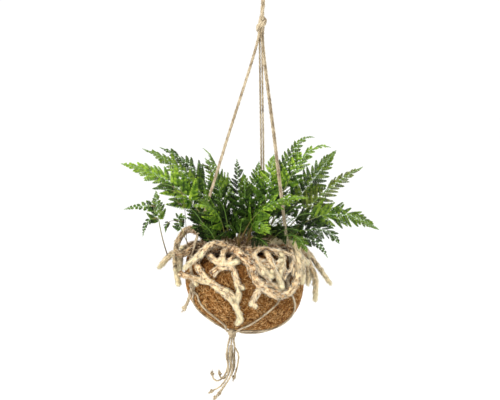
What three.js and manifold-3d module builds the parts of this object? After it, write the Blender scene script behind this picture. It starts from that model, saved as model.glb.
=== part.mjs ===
// A creeping-rhizome fern in a coconut-fibre bowl, hung in three doubled jute cords.
// Millimetres, +Z up. Seen from the front, +X is to the right and +Y to the back.
// The origin is the inside top of the hanging loop's eye, where a hook carries the plant.

import * as THREE from 'three';
import Module from 'manifold-3d';
import { mergeVertices } from 'three/addons/utils/BufferGeometryUtils.js';

const wasm = await Module();
wasm.setup();

// Clearance between pieces that touch, and how close two corners are to count as one
const GAP = 0.3;
const WELD = 1e-4;

// Bowl of pressed coconut fibre: a slightly squarish ball cut open at the top and tipped to the left.
// Below its widest place it sways to the right, by sway at the lowest point.
const BOWL = {
  rimCentre: new THREE.Vector3(-5, 0, -450),
  tip: THREE.MathUtils.degToRad(8),
  radius: 91,
  halfHeight: 88,
  rimToWidest: 40,
  sway: 12,
  squareness: 2.2,
  wall: 12,
  lip: 4,
  sides: 24,
  outsideRings: 7,
  insideRings: 4,
};
const SOIL = { belowRim: 12, crown: 5, rings: 4 };

// Jute: strand, three-strand bundle, and how the strands of one leg lie side by side
const STRAND = 1.5;
const BUNDLE = 3.2;
const PAIR = 2;
const CORD_LIFT = STRAND + 0.9;
const TOP_KNOT = { at: new THREE.Vector3(0, 0, -105), radius: 6.4, height: 27 };
const SIDE_KNOT = { radius: 4.4, height: 15, lift: 5.6 };
const GATHER_KNOT = { at: new THREE.Vector3(-12, -40, -575.5), radius: 6.4, height: 13 };
const KNOT_RING = 3.8;
const END_KNOT = 2.9;
// A knot's make: a tight core, and a cord that winds up it, held in closer at both ends
const WINDING = {
  core: 0.86,
  turns: 1.5,
  steps: 9,
  sides: 5,
  thick: 1.1,
  climb: 0.62,
  start: 0.35,
  swell: 3,
};
// Where strands run into a knot: height from its middle, distance from its axis, or degrees round it
const TOP_EXIT = { spread: 30, inside: 4, below: 4 };
const SIDE_ENTRY = { outer: 9, inner: 2, sunk: 1.5, drawnIn: 0.75, axisStep: 5 };
const GATHER_ENTRY = [{ height: 4, reach: 9 }, { height: 1.5, reach: 2.2 }];
const TASSEL_EXIT = { inside: 2, below: 3 };
// Way points of a leg's straight run, as shares of it
const LEG_STEPS = [0.5, 0.94];

// Each leg: the side of the top knot that it leaves, where it meets the rim, and its way down the wall
// to its knot as [azimuth, height over the rim]. Then the two strands of the net that go on underneath,
// each with the side on which it lies at the knot and the side on which it reaches the gathering knot.
const LEGS = [
  {
    name: 'left', ring: -160, rim: -155, wall: [[-152, -13], [-148, -27]], knot: [-145, -44],
    net: [
      {
        side: 1,
        ring: -160,
        way: [
          [-142, -57], [-142, -66], [-140, -76], [-135, -85], [-131, -94], [-129, -101], [-130, -108],
        ],
      },
      {
        side: -1,
        ring: 160,
        way: [
          [-149, -57], [-155, -66], [-157, -76], [-154, -87], [-148, -97], [-144, -105], [-144, -112],
        ],
      },
    ],
  },
  {
    name: 'right', ring: -40, rim: -36, wall: [[-37, -16], [-41, -34]], knot: [-46, -52],
    net: [
      {
        side: -1,
        ring: -58,
        way: [
          [-53, -66], [-58, -74], [-64, -81], [-72, -89], [-82, -98], [-94, -106], [-106, -111],
        ],
      },
      {
        side: 1,
        ring: -11,
        way: [
          [-39, -67], [-34, -77], [-30, -87], [-27, -98], [-31, -109], [-44, -117], [-70, -120],
          [-96, -118],
        ],
      },
    ],
  },
  {
    name: 'back', ring: 80, rim: 68, wall: [[68, -16], [69, -34]], knot: [70, -52],
    net: [
      {
        side: 1,
        ring: 106,
        way: [
          [77, -68], [83, -82], [92, -95], [104, -107], [122, -117], [150, -122], [-168, -122],
          [-148, -119],
        ],
      },
      {
        side: -1,
        ring: 36,
        way: [
          [63, -68], [60, -82], [55, -95], [48, -107], [38, -117], [10, -124], [-60, -127],
          [-112, -125], [-124, -122],
        ],
      },
    ],
  },
];

// The hanging loop's half, [y, z]: up from the top knot and round the eye
const LOOP = [[3.5, -98], [3.5, -54], [6, -38], [9.6, -22], [9.8, -8], [6.2, 0.5]];
// Loose strands below the gathering knot, [x, y, z], each ending in a small knot
const TASSEL = [
  [
    [-17, -43, -594], [-18, -44, -611], [-14, -44.5, -627], [-15, -44, -643], [-24, -44, -658],
    [-37, -44, -667],
  ],
  [
    [-12, -46, -594], [-13, -47, -611], [-8, -46, -627], [-11.5, -46, -645], [-21, -43.5, -661],
    [-31, -41, -677],
  ],
  [
    [-17, -37, -594], [-16.5, -38, -611], [-15, -38, -627], [-19, -38, -642], [-28, -38.5, -651],
    [-35, -39, -649], [-38, -39, -641],
  ],
  [[-7, -43, -594], [0, -43, -607], [0, -42, -623], [-2, -41, -634], [-4, -40, -643]],
  [
    [-12, -34, -594], [-11, -33, -611], [-10, -34, -627], [-14, -34, -641], [-20, -34, -648],
    [-25, -34, -646.5], [-26.5, -34, -641],
  ],
  [
    [-7, -37, -594], [-6, -36, -611], [-5, -36, -629], [-12, -32, -649], [-20, -33, -664],
    [-25, -34, -672],
  ],
];
// Tail of the left knot, a doubled end, [x, y, z]
const TAIL = {
  radius: 2.6,
  route: [[-78.5, -65, -511], [-80.3, -66, -520], [-82.5, -65.5, -528.5], [-86.5, -64.5, -537]],
};

// Rhizomes: a low crown on the soil, and fingers that creep over the rim.
// A finger's points are [azimuth, height over the rim, lift off the bowl's side], and thick is its radius.
const CROWN = { radius: 62, height: -5, rise: 16 };
const FINGERS = [
  {
    thick: 6,
    route: [
      [-108, 5, -33], [-116, 14, -28], [-123, 20, -8], [-127, 13, 11], [-133, 2, 19], [-144, -19, 22],
    ],
  },
  {
    thick: 5,
    route: [
      [-128, 6, -28], [-137, 8, -3], [-137, -8, 7], [-128, -25, 7], [-117, -38, 7], [-108, -50, 7],
      [-101, -64, 7], [-99, -88, 7], [-106, -98, 8],
    ],
  },
  { thick: 4.5, route: [[-163, -29, 10], [-146, -29, 8], [-129, -33, 7], [-119, -36, 7]] },
  { thick: 4.5, route: [[-114, -42, 7], [-103, -50, 7], [-97, -60, 7]] },
  {
    thick: 4.5,
    route: [
      [-120, -22, 6], [-111, -15, 7], [-100, -15, 7], [-96, -30, 7], [-95, -50, 7], [-98, -66, 7],
    ],
  },
  {
    thick: 6.6,
    route: [
      [-108, 5, -33], [-104, 10, -20], [-91, 5, 7], [-83, -12, 9], [-80, -29, 9], [-74, -45, 10],
      [-64, -56, 12], [-54, -58, 14], [-44, -49, 14], [-37, -33, 13], [-33, -16, 12], [-29, -1, 11],
      [-29, 9, -2], [-38, 12, -18], [-48, 5, -31],
    ],
  },
  { thick: 4.8, route: [[-84, 5, -31], [-81, 8, -6], [-76, -8, 8], [-71, -20, 8], [-64, -34, 9]] },
  {
    thick: 5,
    route: [
      [-64, 5, -31], [-64, 8, -6], [-64, -8, 9], [-61, -25, 9], [-58, -38, 10], [-56, -51, 13],
    ],
  },
  { thick: 4.8, route: [[-52, 5, -31], [-50, 8, -6], [-50, -8, 9], [-53, -20, 9], [-59, -36, 10]] },
  { thick: 4.6, route: [[-80, -32, 8], [-71, -40, 6], [-62, -44, 6], [-54, -42, 8]] },
  { thick: 4.6, route: [[-86, 0, 8], [-74, -12, 8], [-60, -18, 8], [-50, -16, 9]] },
  { thick: 4.6, route: [[-75, -44, 9], [-81, -58, 8], [-86, -70, 9]] },
  { thick: 5, route: [[-22, 5, -31], [-24, 8, -8], [-25, -8, 9], [-26, -30, 9], [-28, -52, 9]] },
  { thick: 4.5, route: [[-14, 5, -31], [-10, 9, -6], [-8, -10, 9], [-8, -32, 9], [-9, -60, 8]] },
  {
    thick: 4.6,
    route: [
      [0, 5, -31], [1, 9, -10], [-3, -4, 8], [-7, -28, 11], [-9, -50, 19], [-10, -78, 22],
    ],
  },
  { thick: 3.6, route: [[12, 5, -31], [9, 9, -4], [6, -14, 12], [6, -34, 22], [6, -60, 44]] },
  { thick: 5, route: [[62, 5, -33], [52, 10, -20], [44, 10, 4], [32, 8, 14], [20, -2, 14], [12, -18, 8]] },
  { thick: 4.2, route: [[48, 4, -38], [40, 14, -26], [35, 21, -16]] },
  {
    thick: 5,
    route: [
      [150, 5, -33], [160, 24, -28], [168, 34, -14], [177, 34, 2], [-176, 20, 15], [-173, 4, 20],
      [-172, -18, 16], [-173, -48, 12],
    ],
  },
  { thick: 6.2, route: [[-156, 5, -31], [-157, 13, -12], [-159, 4, 10], [-162, -5, 28], [-167, -23, 44]] },
  { thick: 4.6, route: [[178, 6, -31], [-176, 14, -14], [-171, 7, 9], [-168, -8, 12], [-168, -26, 10]] },
  { thick: 4.4, route: [[-108, 6, -26], [-110, 8, -4], [-107, -6, 8], [-104, -12, 8]] },
  { thick: 4.8, route: [[-132, 5, -30], [-128, 7, -2], [-116, -5, 8], [-104, -10, 8], [-92, -6, 8]] },
  { thick: 5, route: [[92, 5, -31], [92, 10, -6], [91, -8, 9], [88, -34, 8], [94, -62, 8]] },
  {
    thick: 5,
    route: [
      [112, 5, -31], [114, 14, -8], [118, -2, 12], [124, -26, 8], [118, -48, 8], [104, -56, 9],
    ],
  },
  { thick: 4.8, route: [[136, 5, -31], [138, 10, -6], [140, -10, 9], [136, -40, 8], [144, -70, 8]] },
  { thick: 4.8, route: [[28, 5, -31], [30, 9, -6], [34, -10, 9], [46, -30, 8], [50, -56, 8]] },
];

// Fronds: base [x, y] on the crown (or [x, y, z] on a finger), the corner that the stalk bends round,
// the tip, the share of the stalk that is bare, the blade's full width, and the way its upper face looks
const UP = [0, -0.6, 0.8];
const FRONT = [0, -1, 0.3];
const SLANT = [0, -0.8, 0.6];
const BACK = [0, 0.5, 0.85];
const FRONDS = [
  { base: [-36, -8], via: [-92, -12, -338], tip: [-200, -10, -330],
    bare: 0.4, span: 84, face: SLANT, tint: 'light' },
  { base: [-30, 12], via: [-72, 20, -332], tip: [-171, 25, -308],
    bare: 0.42, span: 62, face: UP, tint: 'mid' },
  { base: [-22, 26], via: [-62, 38, -328], tip: [-146, 50, -306],
    bare: 0.45, span: 58, face: UP, tint: 'dark' },
  { base: [-2, 26], via: [-18, 44, -360], tip: [-24, 62, -317],
    bare: 0.45, span: 44, face: FRONT, tint: 'dark' },
  { base: [-20, 0], via: [-42, 4, -350], tip: [-73, 22, -315],
    bare: 0.45, span: 60, face: UP, tint: 'mid' },
  { base: [4, -20], via: [-6, -40, -348], tip: [-12, -54, -326],
    bare: 0.45, span: 52, face: UP, tint: 'mid' },
  { base: [10, 12], via: [10, 24, -340], tip: [11, 36, -316],
    bare: 0.5, span: 54, face: FRONT, tint: 'mid' },
  { base: [22, -2], via: [30, 2, -345], tip: [33, 10, -301],
    bare: 0.5, span: 62, face: FRONT, tint: 'light' },
  { base: [30, 12], via: [56, 18, -258], tip: [94, 22, -272],
    bare: 0.5, span: 46, face: UP, tint: 'mid' },
  { base: [34, -6], via: [66, -6, -264], tip: [119, -8, -283],
    bare: 0.5, span: 48, face: UP, tint: 'light' },
  { base: [40, 22], via: [84, 34, -352], tip: [130, 44, -291],
    bare: 0.45, span: 70, face: FRONT, tint: 'mid' },
  { base: [46, 6], via: [104, 12, -352], tip: [172, 15, -311],
    bare: 0.42, span: 56, face: UP, tint: 'mid' },
  { base: [50, 18], via: [112, 30, -362], tip: [154, 34, -388],
    bare: 0.42, span: 58, face: UP, tint: 'dark' },
  { base: [48, -8], via: [112, -22, -348], tip: [201, -27, -402],
    bare: 0.42, span: 68, face: SLANT, tint: 'mid' },
  { base: [46, -20], via: [108, -40, -378], tip: [141, -54, -424],
    bare: 0.42, span: 60, face: UP, tint: 'dark' },
  { base: [-8, -44], via: [2, -82, -352], tip: [88, -98, -352],
    bare: 0.42, span: 56, face: UP, tint: 'light' },
  { base: [6, -38], via: [4, -76, -366], tip: [33, -116, -407],
    bare: 0.45, span: 64, face: SLANT, tint: 'light' },
  { base: [-24, -34], via: [-38, -70, -362], tip: [-82, -96, -377],
    bare: 0.42, span: 58, face: UP, tint: 'light' },
  { base: [36, -30], via: [70, -66, -388], tip: [92, -84, -436],
    bare: 0.42, span: 54, face: UP, tint: 'mid' },
  { base: [-117, -34, -466], via: [-136.2, -38, -421], tip: [-142, -42, -363.5],
    bare: 0.55, span: 36, face: FRONT, tint: 'mid' },
  { base: [-136.7, -39, -407.6], via: [-155.5, -43, -401], tip: [-157, -48, -434.5],
    bare: 0.12, span: 16, face: FRONT, tint: 'dark' },
  { base: [-140, -40.4, -388.3], via: [-162, -43, -385.5], tip: [-188.6, -46, -395.5],
    bare: 0.12, span: 18, face: FRONT, tint: 'mid' },
  { base: [-36, 36], via: [-84, 84, -345], tip: [-130, 116, -372],
    bare: 0.42, span: 66, face: BACK, tint: 'mid' },
  { base: [-12, 48], via: [-30, 100, -330], tip: [-46, 150, -362],
    bare: 0.42, span: 70, face: BACK, tint: 'light' },
  { base: [26, 44], via: [52, 104, -335], tip: [58, 158, -366],
    bare: 0.42, span: 70, face: BACK, tint: 'mid' },
  { base: [40, 38], via: [82, 84, -338], tip: [118, 122, -368],
    bare: 0.42, span: 66, face: BACK, tint: 'dark' },
  { base: [20, 32], via: [42, 66, -322], tip: [72, 98, -306],
    bare: 0.45, span: 56, face: BACK, tint: 'mid' },
  { base: [-20, 38], via: [-44, 72, -320], tip: [-80, 104, -308],
    bare: 0.45, span: 56, face: BACK, tint: 'light' },
  { base: [-84, -31, -451], via: [-122.7, -34, -385], tip: [-92.4, -36, -404.6],
    bare: 0.5, span: 24, face: FRONT, tint: 'mid' },
  { base: [50, -26], via: [97, -56, -393], tip: [124, -64, -445],
    bare: 0.45, span: 28, face: FRONT, tint: 'dark' },
];

const STALK = { half: 1.0, tipHalf: 0.55, sunk: 7, thinFrom: 0.4, thin: 0.7, bareStep: 0.55 };
// A frond's blade. Pairs of leaflets lie a step apart, each leaflet cut into lobes down to its rib.
const LEAF = {
  half: 0.36,
  rib: 1.1,
  root: 1.7,
  droop: 0.12,
  pairStep: 18,
  fewestPairs: 4,
  mostPairs: 6,
  firstPair: 0.1,
  tipRoom: 0.3,
  taper: 0.85,
  lobeStep: 12,
  mostLobes: 4,
  lobeReach: 0.44,
  lobeFall: 0.62,
  lobeSlant: 0.1,
  baseAngle: 68,
  angleFall: 22,
};

const COLOURS = {
  coir: 0x8a5a34,
  soil: 0x33261c,
  jute: 0xb89b70,
  rhizome: 0xc9b48a,
  light: 0x6aa52c,
  mid: 0x3f8423,
  dark: 0x235a1c,
};

// Radius of the bowl's outside at a depth below the rim, moved in by an inset
function bowlRadius(depth, inset = 0) {
  const across = BOWL.radius - inset;
  const share = Math.min(1, Math.abs(depth - BOWL.rimToWidest) / (BOWL.halfHeight - inset));
  return across * (1 - share ** BOWL.squareness) ** (1 / BOWL.squareness);
}

const bowlFrame = new THREE.Matrix4()
  .makeRotationY(-BOWL.tip)
  .setPosition(BOWL.rimCentre);

// Moves a point in the bowl's own axes over with the sway of its underside
function swayed(point) {
  const low = Math.max(0, -point.z - BOWL.rimToWidest) / BOWL.halfHeight;
  point.x += BOWL.sway * low ** 2;
  return point;
}

// A place given round the bowl: azimuth in degrees, height over the rim, and distance off the surface
function onBowl([azimuth, height, lift]) {
  const angle = THREE.MathUtils.degToRad(azimuth);
  const reach = bowlRadius(Math.max(0, -height));
  const below = Math.min(0, height) + BOWL.rimToWidest;
  const power = BOWL.squareness - 1;
  const facing = new THREE.Vector2(
    (reach / BOWL.radius) ** power / BOWL.radius,
    height > 0 ? 0 : Math.sign(below) * (Math.abs(below) / BOWL.halfHeight) ** power / BOWL.halfHeight,
  ).normalize().multiplyScalar(lift);
  const out = reach + facing.x;
  const point = new THREE.Vector3(out * Math.cos(angle), out * Math.sin(angle), height + facing.y);
  return swayed(point).applyMatrix4(bowlFrame);
}

function vector([x, y, z]) {
  return new THREE.Vector3(x, y, z);
}

// A closed geometry as a solid for joining and cutting
function toSolid(geometry) {
  const bare = geometry.clone();
  bare.deleteAttribute('normal');
  bare.deleteAttribute('uv');
  const merged = mergeVertices(bare, WELD);
  const corners = [];
  const { array } = merged.index;
  for (let i = 0; i < array.length; i += 3) {
    const [a, b, c] = [array[i], array[i + 1], array[i + 2]];
    if (a !== b && b !== c && c !== a) corners.push(a, b, c);
  }
  return new wasm.Manifold(new wasm.Mesh({
    numProp: 3,
    vertProperties: new Float32Array(merged.attributes.position.array),
    triVerts: new Uint32Array(corners),
  }));
}

function toGeometry(solid) {
  const mesh = solid.getMesh();
  const geometry = new THREE.BufferGeometry();
  geometry.setAttribute('position', new THREE.BufferAttribute(mesh.vertProperties, 3));
  geometry.setIndex(new THREE.BufferAttribute(mesh.triVerts, 1));
  geometry.computeVertexNormals();
  return geometry;
}

// The largest body left after cutting, without loose scraps
function mainBody(solid) {
  return solid.decompose().reduce((best, piece) => (piece.volume() > best.volume() ? piece : best));
}

// A smooth curve stepped by its own points, so that rings lie closer where the points do
class Route extends THREE.CatmullRomCurve3 {
  getPointAt(u, target) {
    return this.getPoint(u, target);
  }

  getTangentAt(u, target) {
    return this.getTangent(u, target);
  }
}

// Cord of even thickness along hand-set points
function cordGeometry(points, radius, sides = 8) {
  const section = new THREE.Shape();
  for (let i = 0; i < sides; i += 1) {
    const angle = (2 * Math.PI * i) / sides;
    const corner = [radius * Math.cos(angle), radius * Math.sin(angle)];
    if (i === 0) section.moveTo(...corner);
    else section.lineTo(...corner);
  }
  const extrudePath = new Route(points);
  return new THREE.ExtrudeGeometry(section, { steps: points.length - 1, bevelEnabled: false, extrudePath });
}

// Tapering limb with a blunt tip, as rings along a curve. Plump makes up for the flats between its few sides.
const LIMB = { plump: 1.12, taper: 0.18, blunt: 0.55, endCap: 0.4 };
function limbGeometry(points, radius, sides = 5) {
  const route = new Route(points);
  const rings = points.length - 1;
  const frames = route.computeFrenetFrames(rings, false);
  const corners = [route.getPoint(0).addScaledVector(frames.tangents[0], -radius * LIMB.endCap)];
  for (let i = 0; i <= rings; i += 1) {
    const share = i / rings;
    const tipped = i === rings ? LIMB.blunt : 1;
    const size = radius * LIMB.plump * (1 - LIMB.taper * share) * tipped;
    for (let j = 0; j < sides; j += 1) {
      const angle = (2 * Math.PI * j) / sides;
      corners.push(route.getPoint(share)
        .addScaledVector(frames.normals[i], size * Math.cos(angle))
        .addScaledVector(frames.binormals[i], size * Math.sin(angle)));
    }
  }
  corners.push(route.getPoint(1).addScaledVector(frames.tangents[rings], radius * LIMB.endCap));
  const triangles = [];
  const at = (ring, side) => 1 + ring * sides + (side % sides);
  for (let j = 0; j < sides; j += 1) {
    triangles.push(0, at(0, j + 1), at(0, j));
    for (let i = 0; i < rings; i += 1) {
      triangles.push(at(i, j), at(i, j + 1), at(i + 1, j + 1));
      triangles.push(at(i, j), at(i + 1, j + 1), at(i + 1, j));
    }
    triangles.push(at(rings, j), at(rings, j + 1), corners.length - 1);
  }
  const geometry = new THREE.BufferGeometry().setFromPoints(corners);
  geometry.setIndex(triangles);
  return geometry;
}

// A lathed shape turned so that its axis is Z, placed with the bowl
function latheInBowl(profile) {
  const geometry = new THREE.LatheGeometry(profile, BOWL.sides).rotateX(Math.PI / 2);
  const { position } = geometry.attributes;
  for (let i = 0; i < position.count; i += 1) {
    position.setX(i, swayed(new THREE.Vector3().fromBufferAttribute(position, i)).x);
  }
  return geometry.applyMatrix4(bowlFrame);
}

// Points down the bowl's inside or outside, from the rim to the lowest point
function wallProfile(inset, top, steps) {
  const bottom = BOWL.rimToWidest + BOWL.halfHeight - inset;
  return Array.from({ length: steps + 1 }, (_, i) => {
    const depth = top + (bottom - top) * Math.sin((0.5 * Math.PI * i) / steps);
    return new THREE.Vector2(i === steps ? 0 : bowlRadius(depth, inset), -depth);
  });
}

function bowlGeometry(grow = 0) {
  const outside = wallProfile(-grow, BOWL.lip, BOWL.outsideRings);
  const inside = wallProfile(BOWL.wall + grow, BOWL.lip, BOWL.insideRings);
  const lipOut = new THREE.Vector2(bowlRadius(0) - BOWL.lip / 2 + grow, grow);
  const lipIn = new THREE.Vector2(bowlRadius(0) - BOWL.wall + BOWL.lip / 2 - grow, grow);
  return latheInBowl([...outside.reverse(), lipOut, lipIn, ...inside]);
}

// The soil is drawn into the middle of the wall, and the bowl then cuts it to the inside's shape
function soilSolid(grow = 0) {
  const wall = wallProfile(BOWL.wall / 2, SOIL.belowRim, SOIL.rings);
  const top = [0.5, 0].map((share) => new THREE.Vector2(
    share * bowlRadius(SOIL.belowRim, BOWL.wall),
    SOIL.crown * (1 - share ** 2) - SOIL.belowRim + grow,
  ));
  return mainBody(toSolid(latheInBowl([...wall.reverse(), ...top])).subtract(toSolid(bowlGeometry(GAP))));
}

// A tied knot: a tight core with a cord wound round it, standing along an axis
function knotSolid(at, axis, { radius, height }, grow = 0) {
  const core = new THREE.SphereGeometry(1, 6, 4);
  const coreRadius = radius * WINDING.core + grow;
  core.scale(coreRadius, height / 2 + grow, coreRadius);
  const coil = Array.from({ length: WINDING.steps + 1 }, (_, i) => {
    const share = i / WINDING.steps;
    const angle = WINDING.turns * 2 * Math.PI * share;
    const swell = Math.min(1, WINDING.start + WINDING.swell * Math.min(share, 1 - share));
    const reach = (radius - STRAND) * swell;
    const rise = (share - 0.5) * height * WINDING.climb;
    return new THREE.Vector3(reach * Math.cos(angle), rise, reach * Math.sin(angle));
  });
  const wrap = cordGeometry(coil, STRAND * WINDING.thick + grow, WINDING.sides);
  const stand = new THREE.Quaternion().setFromUnitVectors(new THREE.Vector3(0, 1, 0), axis);
  const placed = new THREE.Matrix4().compose(at, stand, new THREE.Vector3(1, 1, 1));
  return toSolid(core.applyMatrix4(placed)).add(toSolid(wrap.applyMatrix4(placed)));
}

const DOWN = new THREE.Vector3(0, 0, -1);

function sideKnotPlace([azimuth, height]) {
  const at = onBowl([azimuth, height, SIDE_KNOT.lift]);
  const above = onBowl([azimuth, height + SIDE_ENTRY.axisStep, SIDE_KNOT.lift]);
  return { at, axis: at.clone().sub(above).normalize() };
}

// Point on the ring where the six strands enter or leave a hanging knot
function ringPoint(knot, azimuth, height, reach = KNOT_RING) {
  const angle = THREE.MathUtils.degToRad(azimuth);
  return knot.at.clone().add(new THREE.Vector3(reach * Math.cos(angle), reach * Math.sin(angle), height));
}

// The two strands of a leg or net run are moved apart along the bowl by the azimuth of half a pair
const PAIR_TURN = THREE.MathUtils.radToDeg(PAIR / BOWL.radius);

// Where a strand dips into its side knot, coming from above (up 1) or going on below (up -1)
function intoSideKnot(leg, side, up) {
  const shift = side * PAIR_TURN;
  const [azimuth, height] = leg.knot;
  return [
    onBowl([azimuth + shift, height + up * SIDE_ENTRY.outer, SIDE_KNOT.lift - SIDE_ENTRY.sunk]),
    onBowl([azimuth + shift * SIDE_ENTRY.drawnIn, height + up * SIDE_ENTRY.inner, SIDE_KNOT.lift]),
  ];
}

function upperRoute(leg, side) {
  const shift = side * PAIR_TURN;
  const azimuth = leg.ring + side * TOP_EXIT.spread;
  const rim = onBowl([leg.rim + shift, 1, CORD_LIFT]);
  const start = ringPoint(TOP_KNOT, azimuth, -TOP_KNOT.height / 2 - TOP_EXIT.below);
  return [
    ringPoint(TOP_KNOT, azimuth, -TOP_EXIT.inside),
    start,
    ...LEG_STEPS.map((share) => start.clone().lerp(rim, share)),
    rim,
    ...leg.wall.map(([around, height]) => onBowl([around + shift, height, CORD_LIFT])),
    ...intoSideKnot(leg, side, 1),
  ];
}

function netRoute(leg, { side, ring, way }) {
  return [
    ...intoSideKnot(leg, side, -1).reverse(),
    ...way.map(([azimuth, height]) => onBowl([azimuth, height, CORD_LIFT])),
    ...GATHER_ENTRY.map(({ height, reach }) => ringPoint(GATHER_KNOT, ring, height, reach)),
  ];
}

function tasselRoute(points) {
  const way = points.map(vector);
  const out = way[0].clone().sub(GATHER_KNOT.at);
  const azimuth = THREE.MathUtils.radToDeg(Math.atan2(out.y, out.x));
  const heights = [-TASSEL_EXIT.inside, -GATHER_KNOT.height / 2 - TASSEL_EXIT.below];
  return [...heights.map((height) => ringPoint(GATHER_KNOT, azimuth, height)), ...way];
}

// Hanging loop: the bundle rises from the top knot, opens into the eye and comes back down behind itself
function loopRoute() {
  const rise = LOOP.map(([y, z]) => new THREE.Vector3(0, y, z));
  const fall = LOOP.map(([y, z]) => new THREE.Vector3(0, -y, z)).reverse();
  return [...rise, new THREE.Vector3(0, 0, BUNDLE), ...fall];
}

function endKnot(at) {
  return toSolid(new THREE.IcosahedronGeometry(END_KNOT, 0).translate(at.x, at.y, at.z));
}

// A leaf is drawn as flat triangles on a curved sheet and then given thickness on both sides
class Plate {
  constructor(grow = 0) {
    this.grow = grow;
    this.points = [];
    this.triangles = [];
  }

  add(place, normal, half) {
    this.points.push({ place, normal, half: half + this.grow });
    return this.points.length - 1;
  }

  face(a, b, c) {
    const [p, q, r] = [a, b, c].map((i) => this.points[i].place);
    const up = q.clone().sub(p).cross(r.clone().sub(p));
    this.triangles.push(up.dot(this.points[a].normal) > 0 ? [a, b, c] : [a, c, b]);
  }

  quad(a, b, c, d) {
    this.face(a, b, c);
    this.face(a, c, d);
  }

  geometry() {
    const count = this.points.length;
    const sheet = (side) => this.points.map(
      ({ place, normal, half }) => place.clone().addScaledVector(normal, side * half));
    const edges = new Set(this.triangles.flatMap(([a, b, c]) => [`${a}>${b}`, `${b}>${c}`, `${c}>${a}`]));
    const corners = [];
    this.triangles.forEach(([a, b, c]) => {
      corners.push(a, b, c, c + count, b + count, a + count);
      [[a, b], [b, c], [c, a]].forEach(([from, to]) => {
        if (edges.has(`${to}>${from}`)) return;
        corners.push(to, from, from + count, to, from + count, to + count);
      });
    });
    const geometry = new THREE.BufferGeometry().setFromPoints([...sheet(1), ...sheet(-1)]);
    geometry.setIndex(corners);
    return geometry;
  }
}

// Where a frond stands on the crown, sunk a little into it
function frondBase(base) {
  if (base.length === 3) return vector(base);
  const [x, y] = base;
  const share = Math.min(1, Math.hypot(x, y) / CROWN.radius);
  const height = CROWN.height + CROWN.rise * Math.sqrt(1 - share ** 2) - STALK.sunk;
  return new THREE.Vector3(x, y, height).applyMatrix4(bowlFrame);
}

function frondSpine(frond) {
  return new THREE.QuadraticBezierCurve3(frondBase(frond.base), vector(frond.via), vector(frond.tip));
}

// Directions along, across and out of the blade at a share of the stalk
function bladeAt(spine, face, share) {
  const tangent = spine.getTangentAt(share);
  const across = new THREE.Vector3().crossVectors(tangent, face).normalize();
  const normal = new THREE.Vector3().crossVectors(across, tangent);
  return { centre: spine.getPointAt(share), tangent, across, normal };
}

// Shares of the stalk: bare steps, then the lower and upper root point of each leaflet pair
function stalkShares(frond, spine) {
  const length = spine.getLength();
  const blade = 1 - frond.bare;
  const fitting = Math.round((length * blade) / LEAF.pairStep);
  const pairs = THREE.MathUtils.clamp(fitting, LEAF.fewestPairs, LEAF.mostPairs);
  const root = LEAF.root / length;
  const centres = Array.from(
    { length: pairs }, (_, i) => frond.bare + blade * ((i + LEAF.firstPair) / (pairs + LEAF.tipRoom)) + root);
  const rooted = centres.flatMap((at) => [at - root, at + root]);
  return { centres, shares: [0, STALK.bareStep * frond.bare, ...rooted] };
}

// Stalk and midrib as a strip with a pair of points at each share
function drawStalk(plate, spine, face, shares) {
  const pairs = shares.map((share) => {
    const { centre, across, normal } = bladeAt(spine, face, share);
    const half = THREE.MathUtils.lerp(STALK.half, STALK.tipHalf, share);
    const depth = half * (share > STALK.thinFrom ? STALK.thin : 1);
    return [-1, 1].map((side) => {
      const edge = centre.clone().addScaledVector(across, side * (half + plate.grow));
      return plate.add(edge, normal, depth);
    });
  });
  pairs.slice(1).forEach((pair, i) => plate.quad(pairs[i][0], pair[0], pair[1], pairs[i][1]));
  const end = bladeAt(spine, face, 1);
  plate.face(...pairs.at(-1), plate.add(end.centre, end.normal, LEAF.half));
  return pairs;
}

function stalkSolid(frond, grow) {
  const spine = frondSpine(frond);
  const plate = new Plate(grow);
  drawStalk(plate, spine, vector(frond.face), stalkShares(frond, spine).shares);
  return toSolid(plate.geometry());
}

// Size and slant of one leaflet. Lift bends it out of the blade, and reach shortens it.
function leafletShape(frond, side, share, step, [lift, reach]) {
  const taper = ((1 - share) / (1 - frond.bare)) ** LEAF.taper;
  const angle = THREE.MathUtils.degToRad(LEAF.baseAngle - LEAF.angleFall * share);
  return {
    side,
    angle,
    lift: THREE.MathUtils.degToRad(lift),
    length: (0.5 * frond.span * taper * reach) / Math.sin(angle),
    width: LEAF.lobeReach * step,
  };
}

// One leaflet with cut edges, from its two root points outward
function drawLeaflet(plate, [low, high], blade, { side, length, width, angle, lift }) {
  const { across, tangent } = blade;
  const out = across.clone().multiplyScalar(side * Math.cos(lift))
    .addScaledVector(blade.normal, Math.sin(lift));
  const normal = blade.normal.clone().multiplyScalar(Math.cos(lift))
    .addScaledVector(across, -side * Math.sin(lift));
  const along = out.clone().multiplyScalar(Math.sin(angle)).addScaledVector(tangent, Math.cos(angle));
  const cross = tangent.clone().multiplyScalar(Math.sin(angle)).addScaledVector(out, -Math.cos(angle));
  const lobes = THREE.MathUtils.clamp(Math.round(length / LEAF.lobeStep), 1, LEAF.mostLobes);
  const slant = LEAF.lobeSlant / lobes;
  const spot = (share, offset) => {
    const point = blade.centre.clone().addScaledVector(along, share * length).addScaledVector(cross, offset);
    return plate.add(point.addScaledVector(normal, -LEAF.droop * length * share ** 2), normal, LEAF.half);
  };
  let [nearLow, nearHigh] = [low, high];
  for (let i = 1; i < lobes; i += 1) {
    const share = i / lobes;
    const reach = width * (1 - LEAF.lobeFall * (share - 0.5 / lobes));
    const [farLow, farHigh] = [spot(share, -LEAF.rib), spot(share, LEAF.rib)];
    plate.quad(nearLow, nearHigh, farHigh, farLow);
    plate.face(nearLow, farLow, spot(share - slant, -reach));
    plate.face(nearHigh, farHigh, spot(share + slant, reach));
    [nearLow, nearHigh] = [farLow, farHigh];
  }
  plate.face(nearLow, nearHigh, spot(1, 0));
}

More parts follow.
